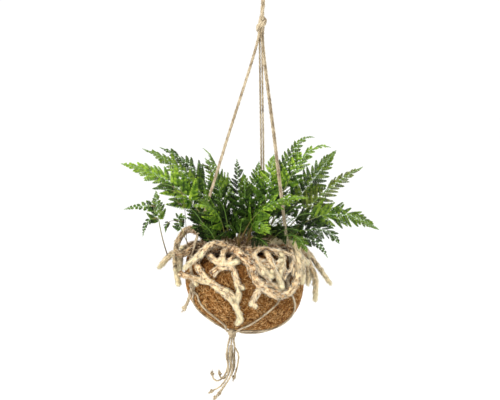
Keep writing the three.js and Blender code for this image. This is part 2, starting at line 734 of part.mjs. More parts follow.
// A leaflet that would cross something already there is bent up or down, then shortened, then left out.
// Each try is a lift in degrees and a share of the full length.
const POSTURES = [
  [0, 1], [18, 1], [-18, 1], [36, 1], [-36, 1],
  [0, 0.6], [25, 0.6], [-25, 0.6], [50, 0.6], [0, 0.35],
];
const TOUCH = 1e-6;

function asObstacle(solid) {
  return { solid, box: solid.boundingBox() };
}

function isClear(solid, obstacles) {
  const box = solid.boundingBox();
  const apart = (other) => box.min.some((low, i) => low > other.max[i] || box.max[i] < other.min[i]);
  return obstacles.every((other) => apart(other.box) || solid.intersect(other.solid).volume() < TOUCH);
}

function frondSolid(frond, obstacles) {
  const spine = frondSpine(frond);
  const face = vector(frond.face);
  const plate = new Plate();
  const { centres, shares } = stalkShares(frond, spine);
  const pairs = drawStalk(plate, spine, face, shares);
  const bareSteps = shares.length - 2 * centres.length;
  const step = spine.getLength() * (centres[1] - centres[0]);
  centres.forEach((share, i) => {
    const blade = bladeAt(spine, face, share);
    [-1, 1].forEach((side) => {
      const first = bareSteps + 2 * i;
      const roots = [first, first + 1].map((index) => pairs[index][side < 0 ? 0 : 1]);
      const fits = (posture) => {
        const trial = new Plate(GAP);
        const ends = roots.map((index) => {
          const root = plate.points[index];
          return trial.add(root.place, root.normal, LEAF.half);
        });
        drawLeaflet(trial, ends, blade, leafletShape(frond, side, share, step, posture));
        return isClear(toSolid(trial.geometry()), obstacles);
      };
      const posture = POSTURES.find(fits);
      if (posture) drawLeaflet(plate, roots, blade, leafletShape(frond, side, share, step, posture));
    });
  });
  return toSolid(plate.geometry());
}

const group = new THREE.Group();

function place(name, geometry, colour, roughness = 0.9) {
  const material = new THREE.MeshStandardMaterial({ color: COLOURS[colour], roughness, metalness: 0 });
  const mesh = new THREE.Mesh(geometry, material);
  mesh.name = name;
  group.add(mesh);
}

// Bowl and soil
place('coir_bowl', toGeometry(toSolid(bowlGeometry())), 'coir', 1);
place('potting_soil', toGeometry(soilSolid()), 'soil', 1);

// Knots first, because each strand is cut clear of the knots that it runs into
const knots = [
  { name: 'top_knot', at: TOP_KNOT.at, axis: DOWN, size: TOP_KNOT },
  { name: 'gathering_knot', at: GATHER_KNOT.at, axis: DOWN, size: GATHER_KNOT },
  ...LEGS.map((leg) => ({ name: `knot_${leg.name}`, ...sideKnotPlace(leg.knot), size: SIDE_KNOT })),
];
knots.forEach(({ name, at, axis, size }) => place(name, toGeometry(knotSolid(at, axis, size)), 'jute'));
const grownKnots = knots.map(({ at, axis, size }) => knotSolid(at, axis, size, GAP));

const cutByKnots = (solid) => mainBody(grownKnots.reduce((rest, knot) => rest.subtract(knot), solid));

// Cords, each with the stretch that it runs, the thickness it has there, and a knot at a loose end
const cords = [
  { name: 'hanging_loop', route: loopRoute(), radius: BUNDLE },
  ...LEGS.flatMap((leg) => [-1, 1].map((side, i) => (
    { name: `leg_${leg.name}_${i + 1}`, route: upperRoute(leg, side), radius: STRAND }))),
  ...LEGS.flatMap((leg) => leg.net.map((run, i) => (
    { name: `net_${leg.name}_${i + 1}`, route: netRoute(leg, run), radius: STRAND }))),
  ...TASSEL.map((points, i) => (
    { name: `tassel_${i + 1}`, route: tasselRoute(points), radius: STRAND, knotted: true })),
  {
    name: 'knot_tail',
    route: [sideKnotPlace(LEGS[0].knot).at, ...TAIL.route.map(vector)],
    radius: TAIL.radius,
    knotted: true,
  },
];
cords.forEach(({ name, route, radius, knotted }) => {
  const tube = toSolid(cordGeometry(route, radius));
  place(name, toGeometry(cutByKnots(knotted ? tube.add(endKnot(route.at(-1))) : tube)), 'jute');
});
const grownCords = cords.map(({ route, radius }) => toSolid(cordGeometry(route, radius + GAP)));

// Rhizomes: crown and fingers joined, cut clear of bowl, soil, jute and the stalks that stand in them
const crown = new THREE.SphereGeometry(1, 12, 6).rotateX(Math.PI / 2)
  .scale(CROWN.radius, CROWN.radius, CROWN.rise)
  .translate(0, 0, CROWN.height)
  .applyMatrix4(bowlFrame);
const tangle = FINGERS.reduce((whole, { route, thick }) => (
  whole.add(toSolid(limbGeometry(route.map(onBowl), thick)))), toSolid(crown));
const stalks = FRONDS.map((frond) => stalkSolid(frond, GAP));
const neighbours = [toSolid(bowlGeometry(GAP)), soilSolid(GAP), ...grownKnots, ...grownCords, ...stalks];
const rhizomes = mainBody(neighbours.reduce((rest, other) => rest.subtract(other), tangle));
place('rhizomes', toGeometry(rhizomes), 'rhizome');

// Fronds, each clear of all stalks, the jute, the rhizomes and the fronds before it
const fixed = [rhizomes, toSolid(bowlGeometry()), ...grownKnots, ...grownCords].map(asObstacle);
const stalkObstacles = stalks.map(asObstacle);
const grown = [];
FRONDS.forEach((frond, i) => {
  const others = stalkObstacles.filter((_, j) => j !== i);
  const solid = frondSolid(frond, [...fixed, ...others, ...grown]);
  grown.push(asObstacle(solid));
  place(`frond_${String(i + 1).padStart(2, '0')}`, toGeometry(solid), frond.tint, 0.7);
});

export default group;
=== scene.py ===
"""Looks of a fern that creeps out of a coconut-fibre bowl and hangs in three doubled jute cords.

Metres, +Z up. Seen from the front, +X is to the right and +Y to the back. The origin is the inside top of
the hanging loop's eye. Routes of cords, rhizomes and stalks repeat those of the solids that they dress. Their
tables are in millimetres and degrees.
"""

import logging
import math
from dataclasses import dataclass, field, replace
from enum import Enum

import bpy
import numpy as np
from mathutils import Matrix, Vector

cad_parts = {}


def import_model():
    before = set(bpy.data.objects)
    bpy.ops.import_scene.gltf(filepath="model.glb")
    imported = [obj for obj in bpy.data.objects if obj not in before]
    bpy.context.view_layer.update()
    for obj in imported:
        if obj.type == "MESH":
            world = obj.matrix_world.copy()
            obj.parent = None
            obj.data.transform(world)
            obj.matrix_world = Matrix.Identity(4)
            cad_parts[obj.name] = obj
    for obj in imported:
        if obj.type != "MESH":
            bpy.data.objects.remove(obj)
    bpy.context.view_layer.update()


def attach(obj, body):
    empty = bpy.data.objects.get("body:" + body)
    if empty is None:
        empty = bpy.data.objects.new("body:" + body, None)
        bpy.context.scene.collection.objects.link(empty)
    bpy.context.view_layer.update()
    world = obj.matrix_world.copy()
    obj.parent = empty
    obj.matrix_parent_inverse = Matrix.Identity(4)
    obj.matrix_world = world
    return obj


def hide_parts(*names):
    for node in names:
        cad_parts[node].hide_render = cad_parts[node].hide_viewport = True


LOG = logging.getLogger("fern")

Array = np.ndarray
Flat = tuple[float, float]
Point = tuple[float, float, float]
Socket = bpy.types.NodeSocket
FULL_TURN = 2 * math.pi
GOLDEN = math.pi * (3 - math.sqrt(5))
CURVE_SAMPLES = 24  # points worked out between two way points of a smooth route
FIBRE_SIDES = 3


class Slot(Enum):
    """Material slots that the record names."""

    COIR = "coir"
    SOIL = "soil"
    JUTE = "jute"
    RHIZOME = "rhizome"
    LIGHT = "frond_light"
    MID = "frond_mid"
    DARK = "frond_dark"


class Face(Enum):
    """Which way the upper side of a frond's blade looks."""

    UP = (0.0, -0.6, 0.8)
    FRONT = (0.0, -1.0, 0.3)
    SLANT = (0.0, -0.8, 0.6)
    BACK = (0.0, 0.5, 0.85)


LIGHT, MID, DARK = Slot.LIGHT, Slot.MID, Slot.DARK
UP, FRONT, SLANT, BACK = Face


def metres(lengths: tuple | float) -> Array:
    """Lengths of a table."""
    return np.array(lengths, float) / 1000


def unit(vectors: Array) -> Array:
    """Vectors scaled to length 1."""
    return vectors / np.maximum(np.linalg.norm(vectors, axis=-1, keepdims=True), 1e-12)


def circle(count: int) -> Array:
    """Angles at even steps round a full turn."""
    return np.arange(count) * FULL_TURN / count


def swing(angle: Array, first: Array, second: Array) -> Array:
    """Directions at angles from the first of two crosswise directions."""
    return np.cos(angle) * first + np.sin(angle) * second


def travelled(path: Array) -> Array:
    """Distance along a line at each of its points."""
    return np.concatenate([[0.0], np.cumsum(np.linalg.norm(np.diff(path, axis=0), axis=1))])


def route_length(path: Array) -> float:
    """Length of a line of points."""
    return float(np.linalg.norm(np.diff(path, axis=0), axis=1).sum())


def evenly_spaced(points: Array, step: float) -> Array:
    """Resamples a line of points.

    Args:
        points: The line's points, (points, 3).
        step: Wanted distance between neighbours along the line.

    Returns:
        Points at even distances of about the step, from end to end.
    """
    run = travelled(points)
    stops = np.linspace(0.0, run[-1], max(2, round(run[-1] / step) + 1))
    return np.stack([np.interp(stops, run, points[:, axis]) for axis in range(3)], axis=1)


def smooth_route(points: Array, step: float) -> Array:
    """Centripetal Catmull-Rom curve through points.

    Args:
        points: Way points.
        step: Distance between the points of the result.

    Returns:
        Points along the curve at even distances.
    """
    way = np.concatenate([2 * points[:1] - points[1:2], points, 2 * points[-1:] - points[-2:-1]])
    share = np.linspace(0, 1, CURVE_SAMPLES, endpoint=False)[:, None]
    square, cube = share**2, share**3
    pieces = []
    for before, start, stop, after in zip(way, way[1:], way[2:], way[3:]):
        lead, span, trail = (
            max(float(np.linalg.norm(b - a)) ** 0.5, 1e-6)
            for a, b in ((before, start), (start, stop), (stop, after))
        )
        leave = (start - before) / lead - (stop - before) / (lead + span) + (stop - start) / span
        arrive = (stop - start) / span - (after - start) / (span + trail) + (after - stop) / trail
        pieces.append(
            (2 * cube - 3 * square + 1) * start
            + (cube - 2 * square + share) * leave * span
            + (3 * square - 2 * cube) * stop
            + (cube - square) * arrive * span
        )
    return evenly_spaced(np.concatenate([*pieces, way[-2:-1]]), step)


def carried_facing(path: Array) -> Array:
    """A crosswise direction at each point of a path, turning as little as it can on the way."""
    along = unit(np.gradient(path, axis=0))
    facing = np.cross(along[0], (1.0, 0.0, 0.0) if abs(along[0][0]) < 0.8 else (0.0, 1.0, 0.0))
    carried = []
    for direction in along:
        facing = facing - direction * (facing @ direction)
        facing = facing / np.linalg.norm(facing)
        carried.append(facing)
    return np.array(carried)


class Lumps:
    """Smooth random field, summed from waves that run in all directions."""

    waves = 30

    def __init__(self, size: float, seed: int) -> None:
        """Draws the waves.

        Args:
            size: Typical length of a wave.
            seed: Seed of the draw.
        """
        draw = np.random.default_rng(seed)
        pace = FULL_TURN / size * draw.uniform(0.7, 1.4, (self.waves, 1))
        self.pace = unit(draw.normal(size=(self.waves, 3))) * pace
        self.phase = draw.uniform(0, FULL_TURN, self.waves)

    def at(self, points: Array) -> Array:
        """Values of about -1 to 1 at points of any shape (..., 3)."""
        return np.sin(points @ self.pace.T + self.phase).sum(-1) / math.sqrt(self.waves)


class Draft:
    """Points, faces and two paint values a point, gathered for one mesh."""

    def __init__(self) -> None:
        """Starts empty."""
        self.points: list[Array] = []
        self.faces: list[Array] = []
        self.coats: list[Array] = []
        self.shades: list[Array] = []
        self.ages: list[Array] = []
        self.count = 0

    def add(self, points: Array, faces: list[Array], shade: Array | float = 0.0, age: Array | float = 0.0,
            coat: int = 0) -> None:
        """Adds points and the faces between them.

        Args:
            points: New points, (..., 3).
            faces: Arrays of corner numbers among the new points, (..., 3) or (..., 4).
            shade: Paint value for how light a point is.
            age: Paint value for how far along its stem or how deep in a groove it lies.
            coat: Number of the finish that the faces take.
        """
        for corners in faces:
            flat = corners.reshape(-1, corners.shape[-1]) + self.count
            self.faces.append(flat)
            self.coats.append(np.full(len(flat), coat))
        self.points.append(points.reshape(-1, 3))
        for values, paint in ((self.shades, shade), (self.ages, age)):
            values.append(np.broadcast_to(paint, points.shape[:-1]).reshape(-1))
        self.count += points.size // 3

    def make(self, name: str, slot: Slot, finishes: list[bpy.types.Material],
             stands_for: tuple[str, ...] = ()) -> bpy.types.Object:
        """Makes the piece and hangs it on the frame.

        Args:
            name: Name of the piece.
            slot: The record's slot of its finish; not used.
            finishes: Its materials, numbered as the faces' coats.
            stands_for: Nodes that it is shown instead of.

        Returns:
            The new object.
        """
        mesh = bpy.data.meshes.new(name)
        sizes = np.concatenate([np.full(len(corners), corners.shape[1]) for corners in self.faces])
        corners = np.concatenate([corners.ravel() for corners in self.faces])
        mesh.vertices.add(self.count)
        mesh.vertices.foreach_set("co", np.concatenate(self.points).astype(np.float32).ravel())
        mesh.loops.add(len(corners))
        mesh.loops.foreach_set("vertex_index", corners.astype(np.int32))
        mesh.polygons.add(len(sizes))
        mesh.polygons.foreach_set("loop_start", (np.cumsum(sizes) - sizes).astype(np.int32))
        mesh.polygons.foreach_set("material_index", np.concatenate(self.coats).astype(np.int32))
        mesh.polygons.foreach_set("use_smooth", np.ones(len(sizes), bool))
        for paint, values in (("shade", self.shades), ("age", self.ages)):
            layer = mesh.attributes.new(paint, "FLOAT", "POINT")
            layer.data.foreach_set("value", np.concatenate(values).astype(np.float32))
        mesh.update(calc_edges=True)
        for finish in finishes:
            mesh.materials.append(finish)
        piece = bpy.data.objects.new(name, mesh)
        bpy.context.scene.collection.objects.link(piece)
        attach(piece, "root")
        if stands_for:
            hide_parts(*stands_for)
        LOG.info("%s: %d triangles", name, (sizes - 2).sum())
        return piece


def round_rings(reach: Array, height: Array, count: int) -> Array:
    """Rings of points round the upright axis.

    Args:
        reach: Radius of each ring.
        height: Height of each ring.
        count: Points in a ring.

    Returns:
        Points, (rings, count, 3).
    """
    turn, reach = circle(count), reach[:, None]
    height = np.repeat(height[:, None], count, axis=1)
    return np.stack([reach * np.cos(turn), reach * np.sin(turn), height], axis=-1)


def rings_along(paths: Array, radii: Array, facing: Array, sides: int) -> Array:
    """Rings of points round many paths at once.

    Args:
        paths: Points along each path, (paths, steps, 3).
        radii: Radius at each step, (paths, steps) or (paths, steps, sides).
        facing: A crosswise direction, (paths, 1 or steps, 3).
        sides: Points in a ring.

    Returns:
        Points, (paths, steps, sides, 3).
    """
    along = unit(np.gradient(paths, axis=1))
    side = unit(np.cross(along, facing))[:, :, None]
    reach = radii[..., None, None] if radii.ndim == 2 else radii[..., None]
    return paths[:, :, None] + reach * swing(circle(sides)[:, None], side, np.cross(side, along[:, :, None]))


def wall_faces(rings: int, sides: int) -> Array:
    """Corner numbers of the quads between neighbouring rings, (quads, 4)."""
    low = np.arange(rings * sides).reshape(rings, sides)
    start, stop = low[:-1], low[1:]
    return np.stack([start, stop, np.roll(stop, -1, 1), np.roll(start, -1, 1)], axis=-1).reshape(-1, 4)


def add_fibres(draft: Draft, paths: Array, radii: Array, facing: Array, shade: Array,
               age: Array | float = 0.0, coat: int = 0) -> None:
    """Adds thin fibres that end in a point.

    Args:
        draft: Mesh that takes them.
        paths: Points along each fibre, the last one its tip, (fibres, steps, 3).
        radii: Radius at each step before the tip, (fibres, steps - 1).
        facing: A crosswise direction, (fibres, 1, 3).
        shade: Paint value of each fibre.
        age: Paint value, one or for each fibre.
        coat: Number of the finish.
    """
    count, steps = paths.shape[:2]
    rings = rings_along(paths, np.pad(radii, ((0, 0), (0, 1))), facing, FIBRE_SIDES)[:, :-1]
    points = np.concatenate([rings.reshape(count, -1, 3), paths[:, -1:]], axis=1)
    each = points.shape[1]
    start = np.arange(count)[:, None, None] * each
    last = (steps - 2) * FIBRE_SIDES + np.arange(FIBRE_SIDES)
    faces = [np.stack([last, np.full(FIBRE_SIDES, each - 1), np.roll(last, -1)], axis=-1) + start]
    if steps > 2:
        faces.append(wall_faces(steps - 1, FIBRE_SIDES) + start)
    draft.add(points, faces, shade[:, None], np.reshape(age, (-1, 1)), coat)


def add_body(draft: Draft, rings: Array, ends: Array, shade: Array | float = 0.0, age: Array | float = 0.0,
             coat: int = 0) -> None:
    """Adds one closed body of rings, its ends drawn to a point each.

    Args:
        draft: Mesh that takes it.
        rings: Points, (rings, points in a ring, 3).
        ends: The two end points.
        shade: Paint value, one or for each point of the rings.
        age: Paint value, one or for each point of the rings.
        coat: Number of the finish.
    """
    count, sides = rings.shape[:2]
    ring, last, middle = np.arange(sides), (count - 1) * sides, count * sides
    start_cap = np.stack([np.full(sides, middle), ring, np.roll(ring, -1)], axis=-1)
    end_cap = np.stack([np.full(sides, middle + 1), np.roll(ring, -1) + last, ring + last], axis=-1)
    paints = []
    for paint in (shade, age):
        spread = np.broadcast_to(np.asarray(paint, float), (count, sides))
        paints.append(np.concatenate([spread.ravel(), [spread[0].mean(), spread[-1].mean()]]))
    points = np.concatenate([rings.reshape(-1, 3), ends])
    draft.add(points, [wall_faces(count, sides), start_cap, end_cap], *paints, coat)


def add_tube(draft: Draft, path: Array, radii: Array, shade: Array | float, age: Array | float, sides: int,
             coat: int = 0) -> None:
    """Adds one closed tube along a path.

    Args:
        draft: Mesh that takes it.
        path: Points along its middle.
        radii: Radius at each point, or at each corner of each ring.
        shade: Paint value, one or for each corner of each ring.
        age: Paint value, one or for each corner of each ring.
        sides: Corners of a ring.
        coat: Number of the finish.
    """
    rings = rings_along(path[None], radii[None], carried_facing(path)[None], sides)[0]
    add_body(draft, rings, path[[0, -1]], shade, age, coat)


@dataclass(frozen=True)
class BowlForm:
    """Slightly squarish ball cut open at the top and tipped to the left, its underside swayed to the right.

    All routes are placed round it.
    """

    rim_centre: Point = (-0.005, 0.0, -0.45)
    tip: float = math.radians(8)
    radius: float = 0.091
    half_height: float = 0.088
    rim_to_widest: float = 0.04
    sway: float = 0.012
    squareness: float = 2.2
    wall: float = 0.012

    def stand(self, local: Array) -> Array:
        """Sways points given in the bowl's own axes, and turns and moves them to the frame's."""
        low = np.maximum(0, -local[..., 2:] - self.rim_to_widest) / self.half_height
        return self.turn(local + self.sway * low**2 * (1, 0, 0)) + np.array(self.rim_centre)

    def closed(self, local: Array) -> tuple[Array, Array]:
        """Rings given in the bowl's own axes, and the middles of the first and the last of them."""
        return self.stand(local), self.stand(np.stack([local[0].mean(0), local[-1].mean(0)]))

    def turn(self, local: Array) -> Array:
        """Turns directions from the bowl's own axes to the frame's."""
        cos, sin = math.cos(self.tip), math.sin(self.tip)
        return local @ np.array([[cos, 0.0, -sin], [0.0, 1.0, 0.0], [sin, 0.0, cos]]).T

    def reach(self, depth: Array, inset: float = 0.0) -> Array:
        """Radius at a depth below the rim, moved in by an inset."""
        share = np.minimum(1, np.abs(depth - self.rim_to_widest) / (self.half_height - inset))
        return (self.radius - inset) * (1 - share**self.squareness) ** (1 / self.squareness)

    def place(self, places: Array | tuple[Point, ...] | list[Point]) -> Array:
        """Points in the frame of places given round the bowl.

        Args:
            places: Azimuth in degrees, height over the rim and lift off the side, (places, 3).

        Returns:
            Points, (places, 3).
        """
        azimuth, height, lift = np.asarray(places, float).T
        azimuth = np.radians(azimuth)
        reach = self.reach(np.maximum(0, -height))
        below = np.minimum(0, height) + self.rim_to_widest
        power = self.squareness - 1
        outward = (reach / self.radius) ** power / self.radius
        upward = np.sign(below) * (np.abs(below) / self.half_height) ** power / self.half_height
        upward = np.where(height > 0, 0.0, upward)
        size = np.hypot(outward, upward)
        out, up = reach + lift * outward / size, height + lift * upward / size
        return self.stand(np.stack([out * np.cos(azimuth), out * np.sin(azimuth), up], axis=-1))

    def snug(self, local: Array) -> tuple[Array, Array]:
        """Draws points, in the bowl's own axes, straight to its surface.

        Args:
            local: Points, (..., 3).

        Returns:
            The points on the surface, and the directions that it faces there.
        """
        middle = np.array([0.0, 0.0, -self.rim_to_widest])
        wide, half, power = self.radius, self.half_height, self.squareness
        rest = local - middle
        flat = np.hypot(rest[..., 0], rest[..., 1]) / wide
        high = np.abs(rest[..., 2]) / half
        rest = rest / (flat**power + high**power)[..., None] ** (1 / power)
        flat, high = np.hypot(rest[..., 0], rest[..., 1])[..., None], rest[..., 2:]
        facing = np.concatenate([
            rest[..., :2] / np.maximum(flat, 1e-9) * (flat / wide) ** (power - 1) / wide,
            np.sign(high) * (np.abs(high) / half) ** (power - 1) / half,
        ], axis=-1)
        return rest + middle, unit(facing)


BOWL = BowlForm()

# Jute: a strand's radius, how far apart the two strands of a leg lie, and how far off the bowl they run
STRAND = 0.0015
PAIR = 0.002
CORD_LIFT = 0.0024
PAIR_TURN = math.degrees(PAIR / BOWL.radius)
SIDE_LIFT = 0.0056  # of the side knots


@dataclass(frozen=True)
class KnotPlan:
    """Where a knot hangs and how large it is."""

    at: Point
    radius: float
    height: float

    def ring(self, azimuth: float, height: float, reach: float = 0.0038) -> Array:
        """Point on the ring where the strands enter or leave it, turned by degrees and above its middle."""
        angle = math.radians(azimuth)
        return np.array(self.at) + (reach * math.cos(angle), reach * math.sin(angle), height)


TOP_KNOT = KnotPlan((0.0, 0.0, -0.105), 0.0064, 0.027)
GATHER_KNOT = KnotPlan((-0.012, -0.04, -0.5755), 0.0064, 0.013)


def side_places(places: tuple[Flat, ...], lift: float = CORD_LIFT, shift: float = 0.0) -> Array:
    """Points off the bowl's side, at azimuths in degrees, shifted by some, and heights in millimetres."""
    return BOWL.place([(azimuth + shift, height / 1000, lift) for azimuth, height in places])


@dataclass(frozen=True)
class NetRun:
    """Strand of the net: its side at the knot, where it reaches the gathering knot, and its way there."""

    side: int
    ring: float
    way: tuple[Flat, ...]


@dataclass(frozen=True)
class LegPlan:
    """One doubled leg: its side of the top knot, its place on the rim, its way down, its knot and its net."""

    name: str
    ring: float
    rim: float
    wall: tuple[Flat, ...]
    knot: Flat
    net: tuple[NetRun, ...]


@dataclass(frozen=True)
class FingerPlan:
    """One creeping rhizome: radius, how pale it is, its way round the bowl, and how much thinner its tip is.

    A way point is an azimuth, a height over the rim and a lift off the side. Cream wool has a tone of 1,
    grey-brown wool one of 0.4.
    """

    thick: float
    tone: float
    route: Array
    taper: float = 0.18


@dataclass(frozen=True)
class FrondPlan:
    """One frond: base on the crown or on a rhizome, the corner that its stalk bends round, and its tip.

    Bare is the share of the stalk without leaflets and span the blade's full width. Full and lift are how
    wide its leaflets are and how much paler, beside those of others of its colour. A ripe one turns olive.
    """

    base: Array
    via: Array
    tip: Array
    bare: float
    span: float
    face: Face
    slot: Slot
    full: float = 1.0
    lift: float = 0.0
    ripe: bool = False


def finger_plans(rows: tuple[tuple, ...]) -> tuple[FingerPlan, ...]:
    """Plans of rhizomes from the rows of a table."""
    return tuple(FingerPlan(thick / 1000, tone, np.array(route, float) / (1, 1000, 1000), *taper)
                 for thick, tone, route, *taper in rows)


def frond_plans(rows: tuple[tuple, ...]) -> tuple[FrondPlan, ...]:
    """Plans of fronds from the rows of a table."""
    return tuple(FrondPlan(*map(metres, (base, via, tip)), bare, span / 1000, *looks)
                 for base, via, tip, bare, span, *looks in rows)


# Azimuths are in degrees, and all places and lengths of the tables in millimetres
LEGS = (
    LegPlan("left", -160, -155, ((-152, -13), (-148, -27)), (-145, -44), (
        NetRun(1, -160, ((-142, -57), (-142, -66), (-140, -76), (-135, -85), (-131, -94), (-129, -101),
            (-130, -108))),
        NetRun(-1, 160, ((-149, -57), (-155, -66), (-157, -76), (-154, -87), (-148, -97), (-144, -105),
            (-144, -112))),
    )),
    LegPlan("right", -40, -36, ((-37, -16), (-41, -34)), (-46, -52), (
        NetRun(-1, -58, ((-53, -66), (-58, -74), (-64, -81), (-72, -89), (-82, -98), (-94, -106),
            (-106, -111))),
        NetRun(1, -11, ((-39, -67), (-34, -77), (-30, -87), (-27, -98), (-31, -109), (-44, -117),
            (-70, -120), (-96, -118))),
    )),
    LegPlan("back", 80, 68, ((68, -16), (69, -34)), (70, -52), (
        NetRun(1, 106, ((77, -68), (83, -82), (92, -95), (104, -107), (122, -117), (150, -122),
            (-168, -122), (-148, -119))),
        NetRun(-1, 36, ((63, -68), (60, -82), (55, -95), (48, -107), (38, -117), (10, -124), (-60, -127),
            (-112, -125), (-124, -122))),
    )),
)
TASSEL = tuple(metres(route) for route in (
    ((-17, -43, -594), (-18, -44, -611), (-14, -44.5, -627), (-15, -44, -643), (-24, -44, -658),
        (-37, -44, -667)),
    ((-12, -46, -594), (-13, -47, -611), (-8, -46, -627), (-11.5, -46, -645), (-21, -43.5, -661),
        (-31, -41, -677)),
    ((-17, -37, -594), (-16.5, -38, -611), (-15, -38, -627), (-19, -38, -642), (-28, -38.5, -651),
        (-35, -39, -649), (-38, -39, -641)),
    ((-7, -43, -594), (0, -43, -607), (0, -42, -623), (-2, -41, -634), (-4, -40, -643)),
    ((-12, -34, -594), (-11, -33, -611), (-10, -34, -627), (-14, -34, -641), (-20, -34, -648),
        (-25, -34, -646.5), (-26.5, -34, -641)),
    ((-7, -37, -594), (-6, -36, -611), (-5, -36, -629), (-12, -32, -649), (-20, -33, -664),
        (-25, -34, -672)),
))
FINGERS = finger_plans((
    (6, 1.1, ((-108, 5, -33), (-116, 14, -28), (-123, 20, -8), (-127, 13, 11), (-133, 2, 19),
        (-144, -19, 22)), 0.5),
    (5, 1.05, ((-128, 6, -28), (-137, 8, -3), (-137, -8, 7), (-128, -25, 7), (-117, -38, 7), (-108, -50, 7),
        (-101, -64, 7), (-99, -88, 7), (-106, -98, 8))),
    (4.5, 0.85, ((-163, -29, 10), (-146, -29, 8), (-129, -33, 7), (-119, -36, 7))),
    (4.5, 1.1, ((-114, -42, 7), (-103, -50, 7), (-97, -60, 7))),
    (4.5, 0.95, ((-120, -22, 6), (-111, -15, 7), (-100, -15, 7), (-96, -30, 7), (-95, -50, 7),
        (-98, -66, 7))),
    (6.6, 0.9, ((-108, 5, -33), (-104, 10, -20), (-91, 5, 7), (-83, -12, 9), (-80, -29, 9), (-74, -45, 10),
        (-64, -56, 12), (-54, -58, 14), (-44, -49, 14), (-37, -33, 13), (-33, -16, 12), (-29, -1, 11),
        (-29, 9, -2), (-38, 12, -18), (-48, 5, -31))),
    (4.8, 0.95, ((-84, 5, -31), (-81, 8, -6), (-76, -8, 8), (-71, -20, 8), (-64, -34, 9))),
    (5, 1.0, ((-64, 5, -31), (-64, 8, -6), (-64, -8, 9), (-61, -25, 9), (-58, -38, 10), (-56, -51, 13))),
    (4.8, 1.1, ((-52, 5, -31), (-50, 8, -6), (-50, -8, 9), (-53, -20, 9), (-59, -36, 10))),
    (4.6, 0.95, ((-80, -32, 8), (-71, -40, 6), (-62, -44, 6), (-54, -42, 8))),
    (4.6, 0.85, ((-86, 0, 8), (-74, -12, 8), (-60, -18, 8), (-50, -16, 9))),
    (4.6, 1.1, ((-75, -44, 9), (-81, -58, 8), (-86, -70, 9))),
    (5, 1.0, ((-22, 5, -31), (-24, 8, -8), (-25, -8, 9), (-26, -30, 9), (-28, -52, 9))),
    (4.5, 1.05, ((-14, 5, -31), (-10, 9, -6), (-8, -10, 9), (-8, -32, 9), (-9, -60, 8))),
    (4.6, 0.75, ((0, 5, -31), (1, 9, -10), (-3, -4, 8), (-7, -28, 11), (-9, -50, 19), (-10, -78, 22))),
    (3.6, 0.95, ((12, 5, -31), (9, 9, -4), (6, -14, 12), (6, -34, 22), (6, -60, 44))),
    (5, 0.65, ((62, 5, -33), (52, 10, -20), (44, 10, 4), (32, 8, 14), (20, -2, 14), (12, -18, 8))),
    (4.2, 0.9, ((48, 4, -38), (40, 14, -26), (35, 21, -16))),
    (5, 1.0, ((150, 5, -33), (160, 24, -28), (168, 34, -14), (177, 34, 2), (-176, 20, 15), (-173, 4, 20),
        (-172, -18, 16), (-173, -48, 12))),
    (6.2, 0.52, ((-156, 5, -31), (-157, 13, -12), (-159, 4, 10), (-162, -5, 28), (-167, -23, 44)), 0.5),
    (4.6, 0.5, ((178, 6, -31), (-176, 14, -14), (-171, 7, 9), (-168, -8, 12), (-168, -26, 10))),
    (4.4, 1.1, ((-108, 6, -26), (-110, 8, -4), (-107, -6, 8), (-104, -12, 8))),
    (4.8, 0.9, ((-132, 5, -30), (-128, 7, -2), (-116, -5, 8), (-104, -10, 8), (-92, -6, 8))),
    (5, 0.9, ((92, 5, -31), (92, 10, -6), (91, -8, 9), (88, -34, 8), (94, -62, 8))),
    (5, 0.85, ((112, 5, -31), (114, 14, -8), (118, -2, 12), (124, -26, 8), (118, -48, 8), (104, -56, 9))),
    (4.8, 0.9, ((136, 5, -31), (138, 10, -6), (140, -10, 9), (136, -40, 8), (144, -70, 8))),
    (4.8, 0.9, ((28, 5, -31), (30, 9, -6), (34, -10, 9), (46, -30, 8), (50, -56, 8))),
))
# Thinner rhizomes between the thick ones, right of the middle and in the loop at the left
RUNNERS = finger_plans((
    (3.4, 0.9, ((-84, 6, -20), (-72, 11, -4), (-60, 7, 6), (-48, 1, 9), (-40, -8, 9), (-36, -24, 10))),
    (3, 0.9, ((-80, -2, 4), (-71, -9, 7), (-62, -12, 8), (-56, -22, 8), (-54, -36, 8))),
    (3.2, 0.9, ((-70, 8, -10), (-59, 5, 4), (-53, -7, 7), (-50, -24, 8), (-52, -40, 8))),
    (3, 0.9, ((-94, 9, -12), (-87, 0, 6), (-80, -12, 7), (-73, -27, 8), (-66, -38, 10))),
    (3, 0.9, ((-66, -28, 6), (-56, -31, 8), (-46, -28, 9), (-39, -15, 10))),
    (3.2, 0.9, ((-36, 8, -20), (-35, 6, 2), (-37, -6, 9), (-39, -20, 10), (-43, -36, 10))),
    (3, 0.9, ((-96, 4, -6), (-101, -4, 6), (-109, -14, 7), (-117, -26, 7))),
    (3, 0.9, ((-46, 12, -26), (-56, 14, -14), (-66, 12, -4), (-76, 6, 5), (-82, -8, 8))),
    (4.6, 0.5, ((-142, 5, -38), (-148, 14, -33), (-155, 24, -26), (-164, 32, -17), (-175, 35.5, -4),
        (176, 33, 4)), 0.3),
))
